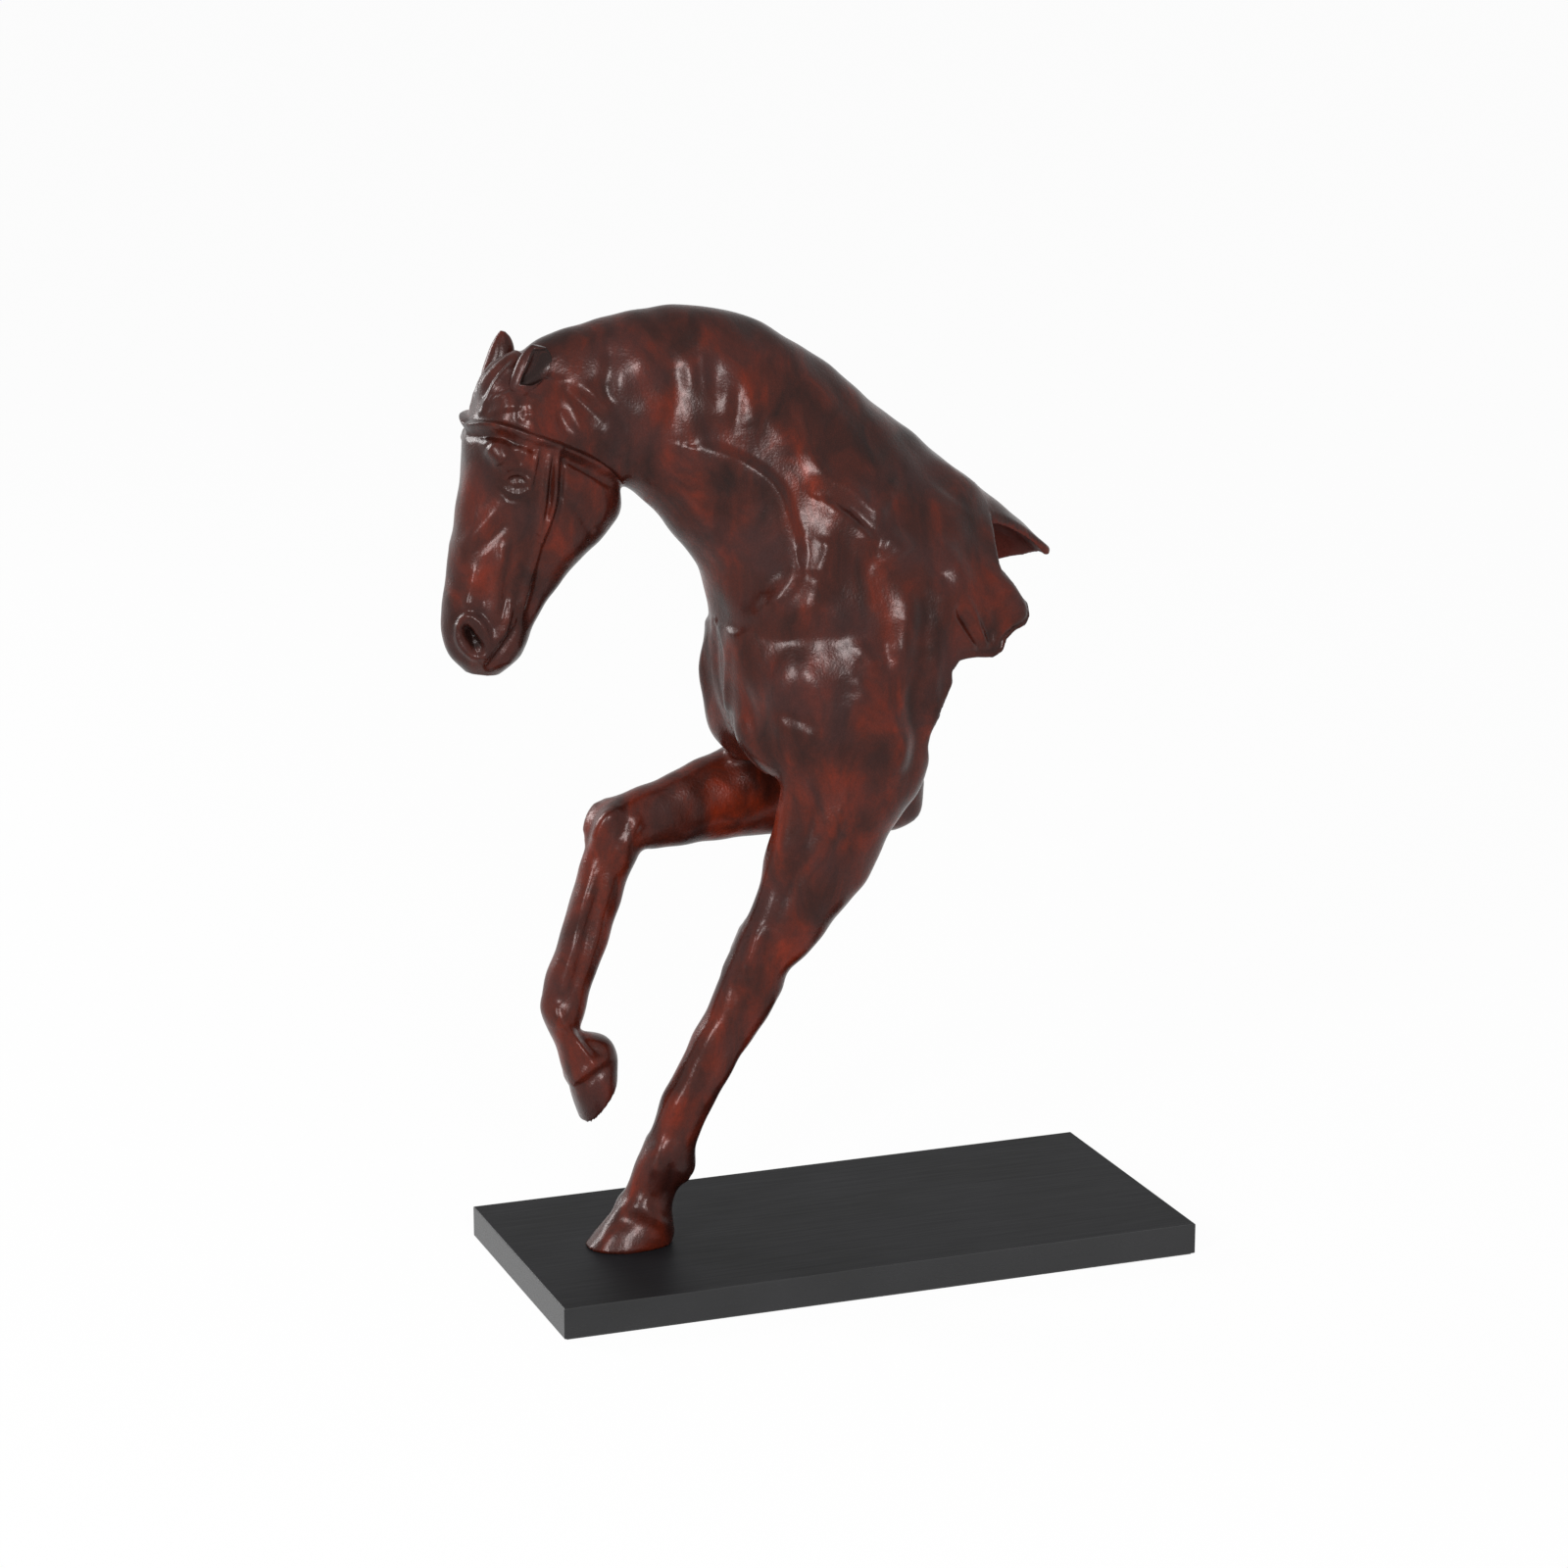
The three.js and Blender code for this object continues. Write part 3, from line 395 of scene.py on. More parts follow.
# Tool marks, placed by pixels of the photograph, of about 0.6 mm on the horse. Each is its rise in mm, its
# reach in pixels to its left and, where that differs, to its right as it is drawn, and its points. A mark
# below zero is a groove.
FACE_MARKS = [
    # Forelock lying forward between the ears
    (1.6, 4, 3, [(526, 360), (510, 372), (497, 386), (489, 400)]),
    (1.8, 3, 4, [(527, 366), (513, 382), (501, 402), (492, 420)]),
    (-1.4, 3, [(522, 368), (507, 384), (496, 404)]),
    # Temple, and the groove in it
    (4.2, 17, 15, [(514, 400), (518, 412), (520, 422)]),
    (3.4, 12, 11, [(546, 402), (543, 416), (542, 430)]),
    (-1.4, 4, [(533, 402), (530, 426)]),
    # Browband with its shadow line
    (4.8, 3.5, 4.5, [(474, 434), (500, 434), (512, 436), (525, 440), (538, 445), (552, 450), (567, 456)]),
    (4.8, 3.5, 4.5, [(552, 450), (571, 457), (589, 464), (605, 472), (620, 482), (632, 490)]),
    (-2.2, 4, [(480, 445), (498, 445), (514, 448), (528, 453), (544, 459)]),
    (-2, 4, [(576, 469), (588, 475), (603, 483), (620, 494)]),
    # Cheek straps, drawn together below the eye and running down to the mouth
    (3.1, 3, [(561, 462), (558, 488), (555, 510), (549, 542)]),
    (3.8, 3.5, [(568, 462), (567, 484), (566, 505), (560, 530), (551, 550)]),
    (1.6, 2.5, [(548, 461), (544, 482), (541, 500)]),
    (2.4, 4, [(556, 530), (551, 550), (541, 585), (534, 610), (527, 636)]),
    (-1.8, 3, 4, [(576, 468), (574, 490), (571, 512), (563, 536)]),
    (-1, 3, [(562, 470), (561, 490), (559, 510)]),
    (-0.8, 4, 5, [(552, 585), (545, 612), (538, 636)]),
    # Brow and the hollow over the eye
    (4.6, 12, 10, [(500, 454), (510, 464), (516, 472)]),
    (-2.2, 5, [(522, 457), (531, 470)]),
    (1.9, 5, [(537, 458), (538, 468)]),
    # Eye: socket, ball, upper lid, lower lid and the bag below
    (-2.2, 9, 8, [(519, 492), (528, 490), (537, 493)]),
    (1.4, 3.4, 3, [(524, 494), (529, 493), (534, 494)]),
    (1.3, 2.2, [(514, 491), (520, 486), (528, 484), (536, 487), (541, 494)]),
    (0.8, 2.2, [(517, 500), (524, 503), (532, 503), (539, 499)]),
    (-0.8, 2.6, [(511, 501), (519, 509), (530, 511)]),
    # Facial crest
    (2.2, 9, 8, [(509, 520), (498, 532), (484, 548), (474, 560)]),
    (-1.9, 6, 8, [(520, 530), (506, 545), (490, 560)]),
    # Cheek: flat of the jaw, its rim, and the veins towards the muzzle
    (-1.4, 10, [(592, 490), (600, 505)]),
    (1.6, 8, [(606, 500), (616, 520), (608, 540)]),
    (-1.6, 5, [(578, 508), (592, 524), (604, 540)]),
    (1.1, 6, [(578, 530), (596, 548)]),
    (1.4, 6, [(484, 585), (480, 605), (478, 625)]),
    (-1.2, 6, [(500, 575), (496, 600), (494, 622)]),
    (1.2, 5, [(512, 560), (508, 590), (506, 620)]),
    (-1.1, 4, [(524, 560), (518, 590), (514, 625)]),
    # Nostril: raised ring with a deep opening
    (2, 4, [(468, 640), (472, 631), (481, 630), (490, 636), (496, 647), (498, 660), (492, 668)]),
    (1.9, 4, [(468, 640), (468, 652), (474, 662), (484, 670), (492, 668)]),
    (-7.5, 5, [(475, 643), (480, 651), (488, 662)]),
    (3.2, 2.5, [(484, 657), (488, 663)]),
    (-1.2, 4, [(464, 632), (471, 624), (482, 622), (494, 628), (503, 640)]),
    (1.6, 7, [(477, 616), (484, 620)]),
    # Mouth: corner, line between the lips, lips and chin
    (-1.9, 3, [(530, 622), (527, 638), (520, 652), (508, 668), (498, 679)]),
    (1.9, 4, [(520, 618), (517, 634), (512, 650)]),
    (1.6, 5, [(510, 645), (503, 660), (492, 676)]),
    (1.2, 5, [(528, 660), (518, 674)]),
]

NECK_MARKS = [
    # Skin folds behind the throat band and under the poll
    (-1.6, 6, [(570, 415), (576, 436), (581, 446)]),
    (1.5, 7, [(582, 410), (589, 428), (594, 444)]),
    (-1.6, 7, [(580, 398), (600, 415), (614, 431)]),
    (1.6, 8, [(592, 396), (612, 407), (626, 422)]),
    (-2, 9, [(614, 392), (622, 412), (634, 430), (648, 446)]),
    (1.3, 8, [(612, 440), (626, 452), (640, 466)]),
    (-2, 9, [(632, 446), (640, 466), (644, 486)]),
    (-1.4, 8, [(621, 352), (622, 380), (620, 404)]),
    # Smooth cheek of the neck under the crest
    (1.6, 18, [(656, 372), (662, 412)]),
    (-1.1, 9, [(687, 366), (690, 398), (688, 430)]),
    # Short upright folds along the crest
    (0.8, 8, 7, [(704, 370), (706, 384), (707, 398)]),
    (0.7, 4, [(717, 362), (719, 380), (721, 396)]),
    (-0.8, 8, [(730, 366), (731, 388), (730, 410)]),
    (1, 8, [(741, 394), (742, 412), (740, 430)]),
    (-0.7, 6, [(753, 396), (752, 414), (750, 434)]),
    (1.4, 8, 15, [(764, 400), (766, 418), (770, 436)]),
    (0.8, 12, [(790, 430), (802, 446)]),
    (-0.8, 14, [(806, 396), (810, 420), (816, 440)]),
    (-0.8, 16, [(700, 438), (730, 444), (760, 450), (786, 462), (808, 480)]),
    # Blade-shaped muscle running down the neck, raised to an outer edge, and the bar that closes it below
    (3.4, 7, 20, [(716, 458), (747, 467), (775, 483), (793, 501), (804, 529), (812, 557)]),
    (-0.8, 9, 6, [(770, 468), (790, 484), (806, 506), (816, 534)]),
    (3.6, 9, 11, [(816, 566), (812, 588), (800, 604), (788, 614), (776, 626)]),
    (-0.7, 9, [(825, 546), (824, 568), (818, 590)]),
    # Windpipe, in a shallow groove
    (-1.1, 9, [(668, 478), (686, 492), (712, 515), (735, 540), (752, 572), (760, 600)]),
    (1.6, 8, [(698, 500), (712, 511), (726, 531), (738, 552)]),
    # Point of the shoulder: an upright bar with a rounded knob below it and another behind it
    (4.4, 15, [(846, 548), (842, 560), (837, 576), (832, 590)]),
    (6, 20, 19, [(804, 624), (822, 620)]),
    (5, 15, 17, [(898, 550), (910, 556), (920, 570)]),
    (-1.2, 6, [(889, 552), (891, 566), (886, 580)]),
    # Two folds over the shoulder
    (3, 6, 14, [(839, 512), (853, 521), (868, 532), (880, 545), (889, 558)]),
    (-0.9, 7, 6, [(858, 512), (875, 524), (891, 540)]),
    (2.8, 10, [(828, 465), (838, 481), (852, 493), (871, 503), (885, 518), (891, 530)]),
    (2.2, 9, [(893, 528), (900, 514), (908, 500)]),
    # Creases below the shoulder
    (-1.2, 12, 14, [(830, 656), (852, 652), (872, 650), (888, 656), (900, 672)]),
    (1.8, 12, [(872, 662), (886, 670), (894, 684)]),
    (3, 13, 12, [(926, 622), (923, 648), (918, 674)]),
    (-1.8, 9, [(940, 606), (943, 634), (938, 662)]),
    (-1.2, 8, [(907, 648), (906, 668), (905, 688)]),
    # Shoulder blade and ribs towards the tear
    (-1.6, 9, [(948, 566), (956, 578), (964, 590)]),
    (2.2, 12, [(934, 558), (954, 560), (970, 570), (978, 586), (976, 606)]),
    (1.6, 10, [(958, 604), (968, 622), (960, 642)]),
    (1.4, 12, [(1004, 486), (984, 492)]),
    (1.6, 6, 8, [(962, 470), (984, 488), (1002, 508)]),
    # Flared sheet of the torn edge, with its two flutes
    (2, 5, [(985, 612), (997, 634), (1006, 656)]),
    (1.8, 5, [(974, 634), (986, 650), (998, 664)]),
    (-2, 4, [(978, 622), (990, 644), (1000, 662)]),
    (-1.8, 5, [(1002, 632), (1009, 646), (1013, 658)]),
    # Rolled rim of the tear
    (-2.2, 4, [(1026, 584), (1041, 601), (1051, 618), (1049, 632), (1027, 650), (1018, 664), (982, 666)]),
    (2.4, 16, 10, [(1020, 596), (1034, 610), (1046, 626)]),
    (-1.4, 8, [(1012, 618), (1018, 634), (1016, 650)]),
    # Breast: edge of the near muscle, the far one beyond it, and the point of the breast
    (3, 4, 12, [(733, 640), (740, 664), (743, 690), (742, 716), (744, 742), (749, 768)]),
    (-3, 5, 4, [(728, 640), (735, 666), (737, 692), (736, 718), (738, 744), (743, 768)]),
    (5.5, 34, 32, [(794, 688), (812, 682)]),
    (-0.6, 8, [(772, 648), (790, 652), (812, 654)]),
    (1.6, 11, [(872, 690), (880, 706), (874, 722)]),
    (-1.4, 5, [(798, 728), (812, 734), (826, 740)]),
    (1.4, 8, [(800, 744), (824, 752)]),
    (-1.6, 8, [(760, 700), (766, 730), (770, 756)]),
    (1.6, 12, [(900, 730), (920, 756), (916, 790)]),
    (-2.2, 8, [(936, 690), (930, 720), (936, 752), (928, 786)]),
    (1.9, 8, [(956, 660), (952, 696), (954, 740)]),
]

LEFT_LEG_MARKS = [
    # Forearm muscles
    (2.6, 13, [(806, 790), (802, 830), (798, 880)]),
    (-1.9, 7, [(838, 800), (826, 850), (806, 905), (792, 945)]),
    (2.1, 9, [(862, 810), (846, 860), (824, 905)]),
    (2.9, 7, [(774, 950), (768, 972), (762, 986)]),
    # Knee and the small bone behind it
    (-1.2, 7, [(788, 958), (782, 984), (780, 1006)]),
    (1, 8, [(784, 1010), (788, 1022)]),
    (-1.4, 7, [(746, 1004), (758, 1022), (762, 1036)]),
    # Cannon bone and the tendon behind it
    (1.3, 11, 9, [(730, 1050), (716, 1080), (700, 1112), (682, 1146)]),
    (-0.7, 7, [(746, 1056), (730, 1088), (716, 1116), (700, 1146), (686, 1172)]),
    (1.3, 7, [(758, 1058), (740, 1090), (726, 1112), (708, 1140), (696, 1166)]),
    # Fetlock and ergot
    (2.2, 8, [(674, 1172), (668, 1190)]),
    (-1.5, 7, [(690, 1186), (684, 1204), (676, 1222)]),
    (2.2, 6, [(696, 1196), (702, 1206)]),
    # Crown of the hoof and its wall
    (1.4, 8, [(618, 1247), (630, 1236), (645, 1231), (662, 1236), (680, 1247)]),
    (-0.6, 7, [(612, 1262), (628, 1251), (644, 1247), (662, 1253), (682, 1264)]),
    (1.2, 9, [(626, 1252), (616, 1266)]),
    (-0.9, 4, [(666, 1222), (670, 1236), (682, 1246)]),
]

RIGHT_LEG_MARKS = [
    # Forearm and knee of the raised leg
    (1.6, 8, [(740, 826), (700, 828), (660, 828)]),
    (-1.6, 6, [(736, 848), (700, 848), (668, 846), (644, 852)]),
    (4.4, 7, [(628, 828), (616, 842), (609, 862)]),
    (-1.4, 6, [(640, 842), (632, 862)]),
    (1.6, 6, [(650, 836), (644, 850), (634, 866)]),
    # Cannon bone and tendon
    (1.8, 7, [(604, 892), (594, 936), (582, 984), (574, 1010)]),
    (-0.9, 5, [(614, 892), (604, 930), (594, 968), (584, 1008)]),
    (1.3, 5, [(624, 896), (614, 932), (604, 968), (592, 1006)]),
    # Fetlock, pastern and the crown of the hoof
    (1.6, 6, [(568, 1030), (572, 1044)]),
    (2.2, 4, [(578, 1048), (592, 1068), (604, 1084)]),
    (-1.9, 5, [(592, 1052), (602, 1066), (612, 1074)]),
    (1.6, 6, [(584, 1104), (596, 1096), (608, 1088), (620, 1080)]),
    (-1.3, 5, [(586, 1112), (598, 1104), (610, 1095), (624, 1087)]),
]
NEAR_MARKS = FACE_MARKS + NECK_MARKS + LEFT_LEG_MARKS

# Where relief dies away round the seam of a leg, in mm
QUIET_RADIUS = 28
QUIET_FADE = 16
# Slow unevenness left by the modeller's hands
WAVES = 14
WAVE_LENGTH = 34
WAVE_LENGTH_SPREAD = (0.5, 1.6)
WAVE_HEIGHT = 0.16
WAVE_SEED = 7
# How far a tool mark spreads, in reaches, the share of its length over which each end thins out, the height
# that is left there, and how full a mark of two points is
MARK_SPREAD = 2.5
MARK_TAPER = 0.2
MARK_END = 0.55
SHORT_MARK = 0.5
# Tool marks come in from the first to the second of these cosines of the angle to the camera.
FACING_RANGE = (0.05, 0.4)
# How near to the core's surface, in mm, a casting's skin is all and not at all that of its hollow
CORE_RANGE = (1.5, 3.0)


def photo_pixels(points):
    """Where points of the horse show in the photograph."""
    seen = points + HORSE_ORIGIN - CAMERA_PLACE
    depth = seen @ VIEW_AHEAD
    across, up = seen @ VIEW_RIGHT, seen @ VIEW_UP
    return PHOTO_PIXELS / 2 + FOCAL_PIXELS * np.stack([across / depth, -up / depth], 1)


def smooth_line(points, steps=5):
    """A drawn line made round between its points."""
    line = np.array(points, float)
    if len(line) < 3:
        return line
    places = np.arange((len(line) - 1) * steps + 1) / steps
    return np.array([section_at(line, place) for place in places])


def mark_height(pixels, mark):
    """The rise of one tool mark at each pixel, which falls off to both sides and thins out at its ends."""
    rise, *reaches, points = mark
    left, right = reaches[0], reaches[-1]
    line = smooth_line(points)
    reach = MARK_SPREAD * max(left, right)
    low, high = line.min(axis=0) - reach, line.max(axis=0) + reach
    heights = np.zeros(len(pixels))
    close = np.flatnonzero(((pixels > low) & (pixels < high)).all(axis=1))
    spot = pixels[close]
    best = np.full(len(close), np.inf)
    side = np.zeros(len(close))
    done = np.zeros(len(close))
    lengths = np.linalg.norm(np.diff(line, axis=0), axis=1)
    before = np.concatenate([[0], np.cumsum(lengths)])
    for k, (start, end) in enumerate(zip(line[:-1], line[1:])):
        way = end - start
        t = np.clip((spot - start) @ way / (way @ way), 0, 1)
        off = spot - start - t[:, None] * way
        distance = np.hypot(*off.T)
        nearer = distance < best
        best = np.where(nearer, distance, best)
        side = np.where(nearer, way[0] * off[:, 1] - way[1] * off[:, 0], side)
        done = np.where(nearer, (before[k] + t * lengths[k]) / before[-1], done)
    width = np.where(side < 0, left, right)
    full = np.clip(np.minimum(done, 1 - done) / MARK_TAPER, 0, 1) if len(line) > 2 else SHORT_MARK
    heights[close] = rise * np.exp(-((best / width) ** 2)) * (MARK_END + (1 - MARK_END) * full)
    return heights


def smooth_step(value, low, high):
    t = np.clip((value - low) / (high - low), 0, 1)
    return t * t * (3 - 2 * t)


def relief(points, normals, marks, middle_y):
    """The tool marks' rise at each point. Both sides of a form have the same ones, mirrored at middle_y."""
    flipped = points[:, 1] > middle_y
    near, outward = points.copy(), normals.copy()
    near[flipped, 1] = (2 * middle_y - points[:, 1])[flipped]
    outward[flipped, 1] *= -1
    toward = CAMERA_PLACE - HORSE_ORIGIN - near
    toward /= np.linalg.norm(toward, axis=1)[:, None]
    facing = np.einsum("ij,ij->i", outward, toward)
    pixels = photo_pixels(near)
    return sum(mark_height(pixels, mark) for mark in marks) * smooth_step(facing, *FACING_RANGE)


def unevenness(points):
    """A slow swell over the whole surface, from waves that run in many directions."""
    chance = np.random.default_rng(WAVE_SEED)
    height = np.zeros(len(points))
    for _ in range(WAVES):
        way = chance.normal(size=3)
        way *= 2 * math.pi / (WAVE_LENGTH * chance.uniform(*WAVE_LENGTH_SPREAD) * np.linalg.norm(way))
        height += WAVE_HEIGHT * np.sin(points @ way + chance.uniform(0, 2 * math.pi))
    return height


def point_normals(points, quads):
    a, b, c, d = (points[quads[:, k]] for k in range(4))
    faces = np.cross(c - a, d - b)
    sums = np.zeros_like(points)
    for k in range(4):
        for axis in range(3):
            sums[:, axis] += np.bincount(quads[:, k], faces[:, axis], len(points))
    return sums / np.maximum(np.linalg.norm(sums, axis=1), 1e-9)[:, None]


def leg_middles(points, stations):
    """The y of a leg's middle beside each point, drawn evenly from its stations."""
    centres = np.array([middle_of(station) for station in stations])
    spread = 15
    gaps = (points[:, None, 0] - centres[None, :, 0]) ** 2 + (points[:, None, 2] - centres[None, :, 2]) ** 2
    weights = np.exp(-(gaps - gaps.min(axis=1, keepdims=True)) / spread**2)
    return weights @ centres[:, 1] / weights.sum(axis=1)


def quiet_near(points, stations, place):
    centre = middle_of(section_at(stations, place))
    distance = np.linalg.norm(points - centre, axis=1)
    return smooth_step(distance, QUIET_RADIUS, QUIET_RADIUS + QUIET_FADE)


def worked_surface(room, field, tool_marks, core=None):
    """A casting's mesh with its tool marks: points, faces, normals, relief, and how much is the hollow's."""
    points, quads = room.surface(field)
    normals = point_normals(points, quads)
    cored = np.zeros(len(points))
    if core is not None:
        cored = 1 - smooth_step(np.abs(room.sample(core, points)), *CORE_RANGE)
    rise = tool_marks(points, normals) * (1 - cored)
    points = points + normals * (rise + unevenness(points))[:, None]
    return points, quads, point_normals(points, quads), rise, cored


def saw(mesh, stations, place, keep_beyond, side=0):
    """Saws a casting square through at a seam, keeps one part and closes the cut."""
    section = section_at(stations, place)
    front_x, front_z, back_x, back_z = section[:4]
    across = Vector((front_z - back_z, 0, back_x - front_x)).normalized()
    if across.dot(Vector(way_along(stations, place))) < 0:
        across.negate()
    faces = [face for face in mesh.faces if side * face.calc_center_bounds().y >= 0]
    edges = {edge for face in faces for edge in face.edges}
    verts = {vert for face in faces for vert in face.verts}
    made = bmesh.ops.bisect_plane(
        mesh,
        geom=[*verts, *edges, *faces],
        dist=1e-4,
        plane_co=Vector(middle_of(section)),
        plane_no=across,
        clear_inner=keep_beyond,
        clear_outer=not keep_beyond,
    )
    rims = [part for part in made["geom_cut"] if isinstance(part, bmesh.types.BMEdge)]
    bmesh.ops.triangle_fill(mesh, use_beauty=True, use_dissolve=False, edges=rims)


def add_object(name, data):
    made = bpy.data.objects.new(name, data)
    bpy.context.scene.collection.objects.link(made)
    return made


def casting(name, surface, cuts, nodes, extra=None):
    """Makes the piece that stands for one or more CAD nodes."""
    points, quads, normals, rise, cored = surface
    mesh = bpy.data.meshes.new(name)
    mesh.vertices.add(len(points))
    mesh.vertices.foreach_set("co", points.ravel())
    mesh.loops.add(quads.size)
    mesh.loops.foreach_set("vertex_index", quads.ravel())
    mesh.polygons.add(len(quads))
    mesh.polygons.foreach_set("loop_start", np.arange(len(quads)) * 4)
    mesh.update()
    for layer, kind, slot, values in (
        ("shade", "FLOAT_VECTOR", "vector", normals),
        ("relief", "FLOAT", "value", rise),
        ("core", "FLOAT", "value", cored),
    ):
        held = mesh.attributes.new(layer, kind, "POINT").data
        held.foreach_set(slot, values.astype(np.float32).ravel())
    work = bmesh.new()
    work.from_mesh(mesh)
    for cut in cuts:
        saw(work, *cut)
    if extra is not None:
        add_body(work, *extra)
    bmesh.ops.recalc_face_normals(work, faces=work.faces)
    work.to_mesh(mesh)
    work.free()
    shade = np.empty(len(mesh.vertices) * 3, np.float32)
    mesh.attributes["shade"].data.foreach_get("vector", shade)
    mesh.attributes.remove(mesh.attributes["shade"])
    mesh.transform(HORSE_TO_PART)
    mesh.shade_smooth()
    mesh.normals_split_custom_set_from_vertices(shade.reshape(-1, 3))
    piece = add_object(name, mesh)
    piece.data.materials.append(bronze)
    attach(piece, "root")
    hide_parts(*nodes)


def add_body(work, points, faces):
    """Adds a closed body to a casting's mesh, with its own normals kept for its shading."""
    shade = work.verts.layers.float_vector["shade"]
    core = work.verts.layers.float["core"]
    verts = [work.verts.new(point) for point in points]
    made = [work.faces.new([verts[k] for k in face]) for face in faces]
    bmesh.ops.recalc_face_normals(work, faces=made)
    for vert in verts:
        vert.normal_update()
        vert[shade] = vert.normal
        vert[core] = 1


# The sockets of a Mix node for two colours and their result, and for two numbers
MIX_A, MIX_B, MIX_COLOUR = 6, 7, 2
MIX_FIRST, MIX_SECOND = 2, 3


def linear(hex_colour):
    """An sRGB hex colour as linear RGBA."""
    parts = [int(hex_colour[k : k + 2], 16) / 255 for k in (0, 2, 4)]
    return (*(c / 12.92 if c <= 0.04045 else ((c + 0.055) / 1.055) ** 2.4 for c in parts), 1)


def per_metre(millimetres):
    """The scale of a pattern whose marks are about so many millimetres apart."""
    return 1000 / millimetres


def link(node, links):
    for socket, source in links.items():
        node.id_data.links.new(source, node.inputs[socket])


def add_node(tree, kind, values=None, links=None, stops=(), out=0, **settings):
    """Adds a node with its settings, its sockets' values, what is linked into them and its colour stops, and
    gives one of its outputs."""
    made = tree.nodes.new("ShaderNode" + kind)
    for name, value in settings.items():
        setattr(made, name, value)
    for socket, value in (values or {}).items():
        made.inputs[socket].default_value = value
    link(made, links or {})
    if stops:
        ramp = made.color_ramp.elements
        while len(ramp) < len(stops):
            ramp.new(1)
        for stop, (place, colour) in zip(ramp, stops):
            stop.position, stop.color = place, linear(colour)
    return made.outputs[out] if made.outputs else None


def start_nodes(owner):
    """Clears the nodes of a material or world, and gives the function that adds new ones to it."""
    owner.use_nodes = True
    owner.node_tree.nodes.clear()
    return partial(add_node, owner.node_tree)


def start_material(name, **fixed):
    """A material, the function that adds its nodes, and its shader with what is the same all over."""
    material = bpy.data.materials.new(name)
    node = start_nodes(material)
    values = {socket.replace("_", " "): value for socket, value in fixed.items()}
    shader = node("BsdfPrincipled", values)
    node("OutputMaterial", links={"Surface": shader})
    return material, node, shader.node


def patinated_bronze():
    """Bronze, sand cast and chased, coloured hot with iron salts in thin coats and waxed. The eye sees a
    deep brown ground, oxblood where the coats are thin, in clouds drawn upright by the brush, and the soft
    gloss of wax."""
    material, node, shader = start_material(
        "waxed_bronze_patina",
        Metallic=0.1, Specular_IOR_Level=0.17, Coat_Weight=0.08, Coat_Roughness=0.2,
    )
    place = node("TexCoord", out="Object")
    drawn = node("Mapping", {"Scale": (1, 1, 0.5)}, {"Vector": place})
    # Patterns, each with its size in mm, its detail, its roughness and its distortion: clouds of the brush,
    # wax bloom partly painted as sheen, flecks of salt, dimples of the chasing, and grains of sand drawn
    # coarse enough to show
    clouds, bloom_and_sheen, flecks, dimples, grain = (
        node(
            "TexNoise",
            {"Scale": per_metre(size), "Detail": detail, "Roughness": uneven, "Distortion": bent},
            {"Vector": where},
        )
        for size, detail, uneven, bent, where in (
            (26, 5, 0.6, 0.6, drawn),
            (38, 3, 0.5, 0, place),
            (3.5, 3, 0.7, 0, place),
            (9, 3, 0.5, 0, place),
            (1.4, 2, 0.5, 0, place),
        )
    )
    # The legs are rubbed more than the body, so more of the red comes through.
    height = node("SeparateXYZ", links={"Vector": place}, out="Z")
    legs = node(
        "ValToRGB", links={"Fac": height},
        stops=[(0.05, "000000"), (0.11, "ffffff"), (0.27, "ffffff"), (0.36, "000000")],
    )
    redness = node("Math", {1: 0.1}, {0: legs, 2: clouds}, operation="MULTIPLY_ADD")
    colour = node(
        "ValToRGB", links={"Fac": redness},
        stops=[(0.3, "1a0906"), (0.45, "2e110b"), (0.55, "3c160e"), (0.65, "501a0d"), (0.78, "68200e")],
    )
    # The relief holds the tool marks' rise and, in the ears' scooped openings, a painted shade.
    rise, core = (node("Attribute", out="Fac", attribute_name=name) for name in ("relief", "core"))
    # Colours laid over the ground, each by a pattern that brings it in from one value to another
    for pattern, none_at, most_at, most, tint in (
        # Where the wax has bloomed, the brown turns greyer; these grey patches are partly a painted sheen.
        (bloom_and_sheen, 0.46, 0.66, 0.4, "392120"),
        (flecks, 0.52, 0.72, 0.3, "1c0c09"),
        # Salts gather in the grooves. In the ears' scooped openings the same darkening is painted shade.
        (rise, -1, -3, 0.92, "1a0e0c"),
        # The inside of the shell keeps the raw red-brown skin of the mould.
        (core, 0, 1, 1, "55221a"),
    ):
        limits = {"From Min": none_at, "From Max": most_at, "To Max": most}
        share = node("MapRange", limits, {"Value": pattern})
        mixed = {0: share, MIX_A: colour}
        colour = node("Mix", {MIX_B: linear(tint)}, mixed, out=MIX_COLOUR, data_type="RGBA")
    gloss = node(
        "MapRange",
        {"From Min": 0.3, "From Max": 0.7, "To Min": 0.24, "To Max": 0.33}, {"Value": flecks},
    )
    rough = node("Mix", {MIX_SECOND: 0.75}, {0: core, MIX_FIRST: gloss}, data_type="FLOAT")
    dimpled = node("Bump", {"Strength": 0.3, "Distance": 0.0012}, {"Height": dimples})
    bumps = node("Bump", {"Strength": 0.5, "Distance": 0.0003}, {"Height": grain, "Normal": dimpled})
    link(shader, {"Base Color": colour, "Roughness": rough, "Normal": bumps})
    return material


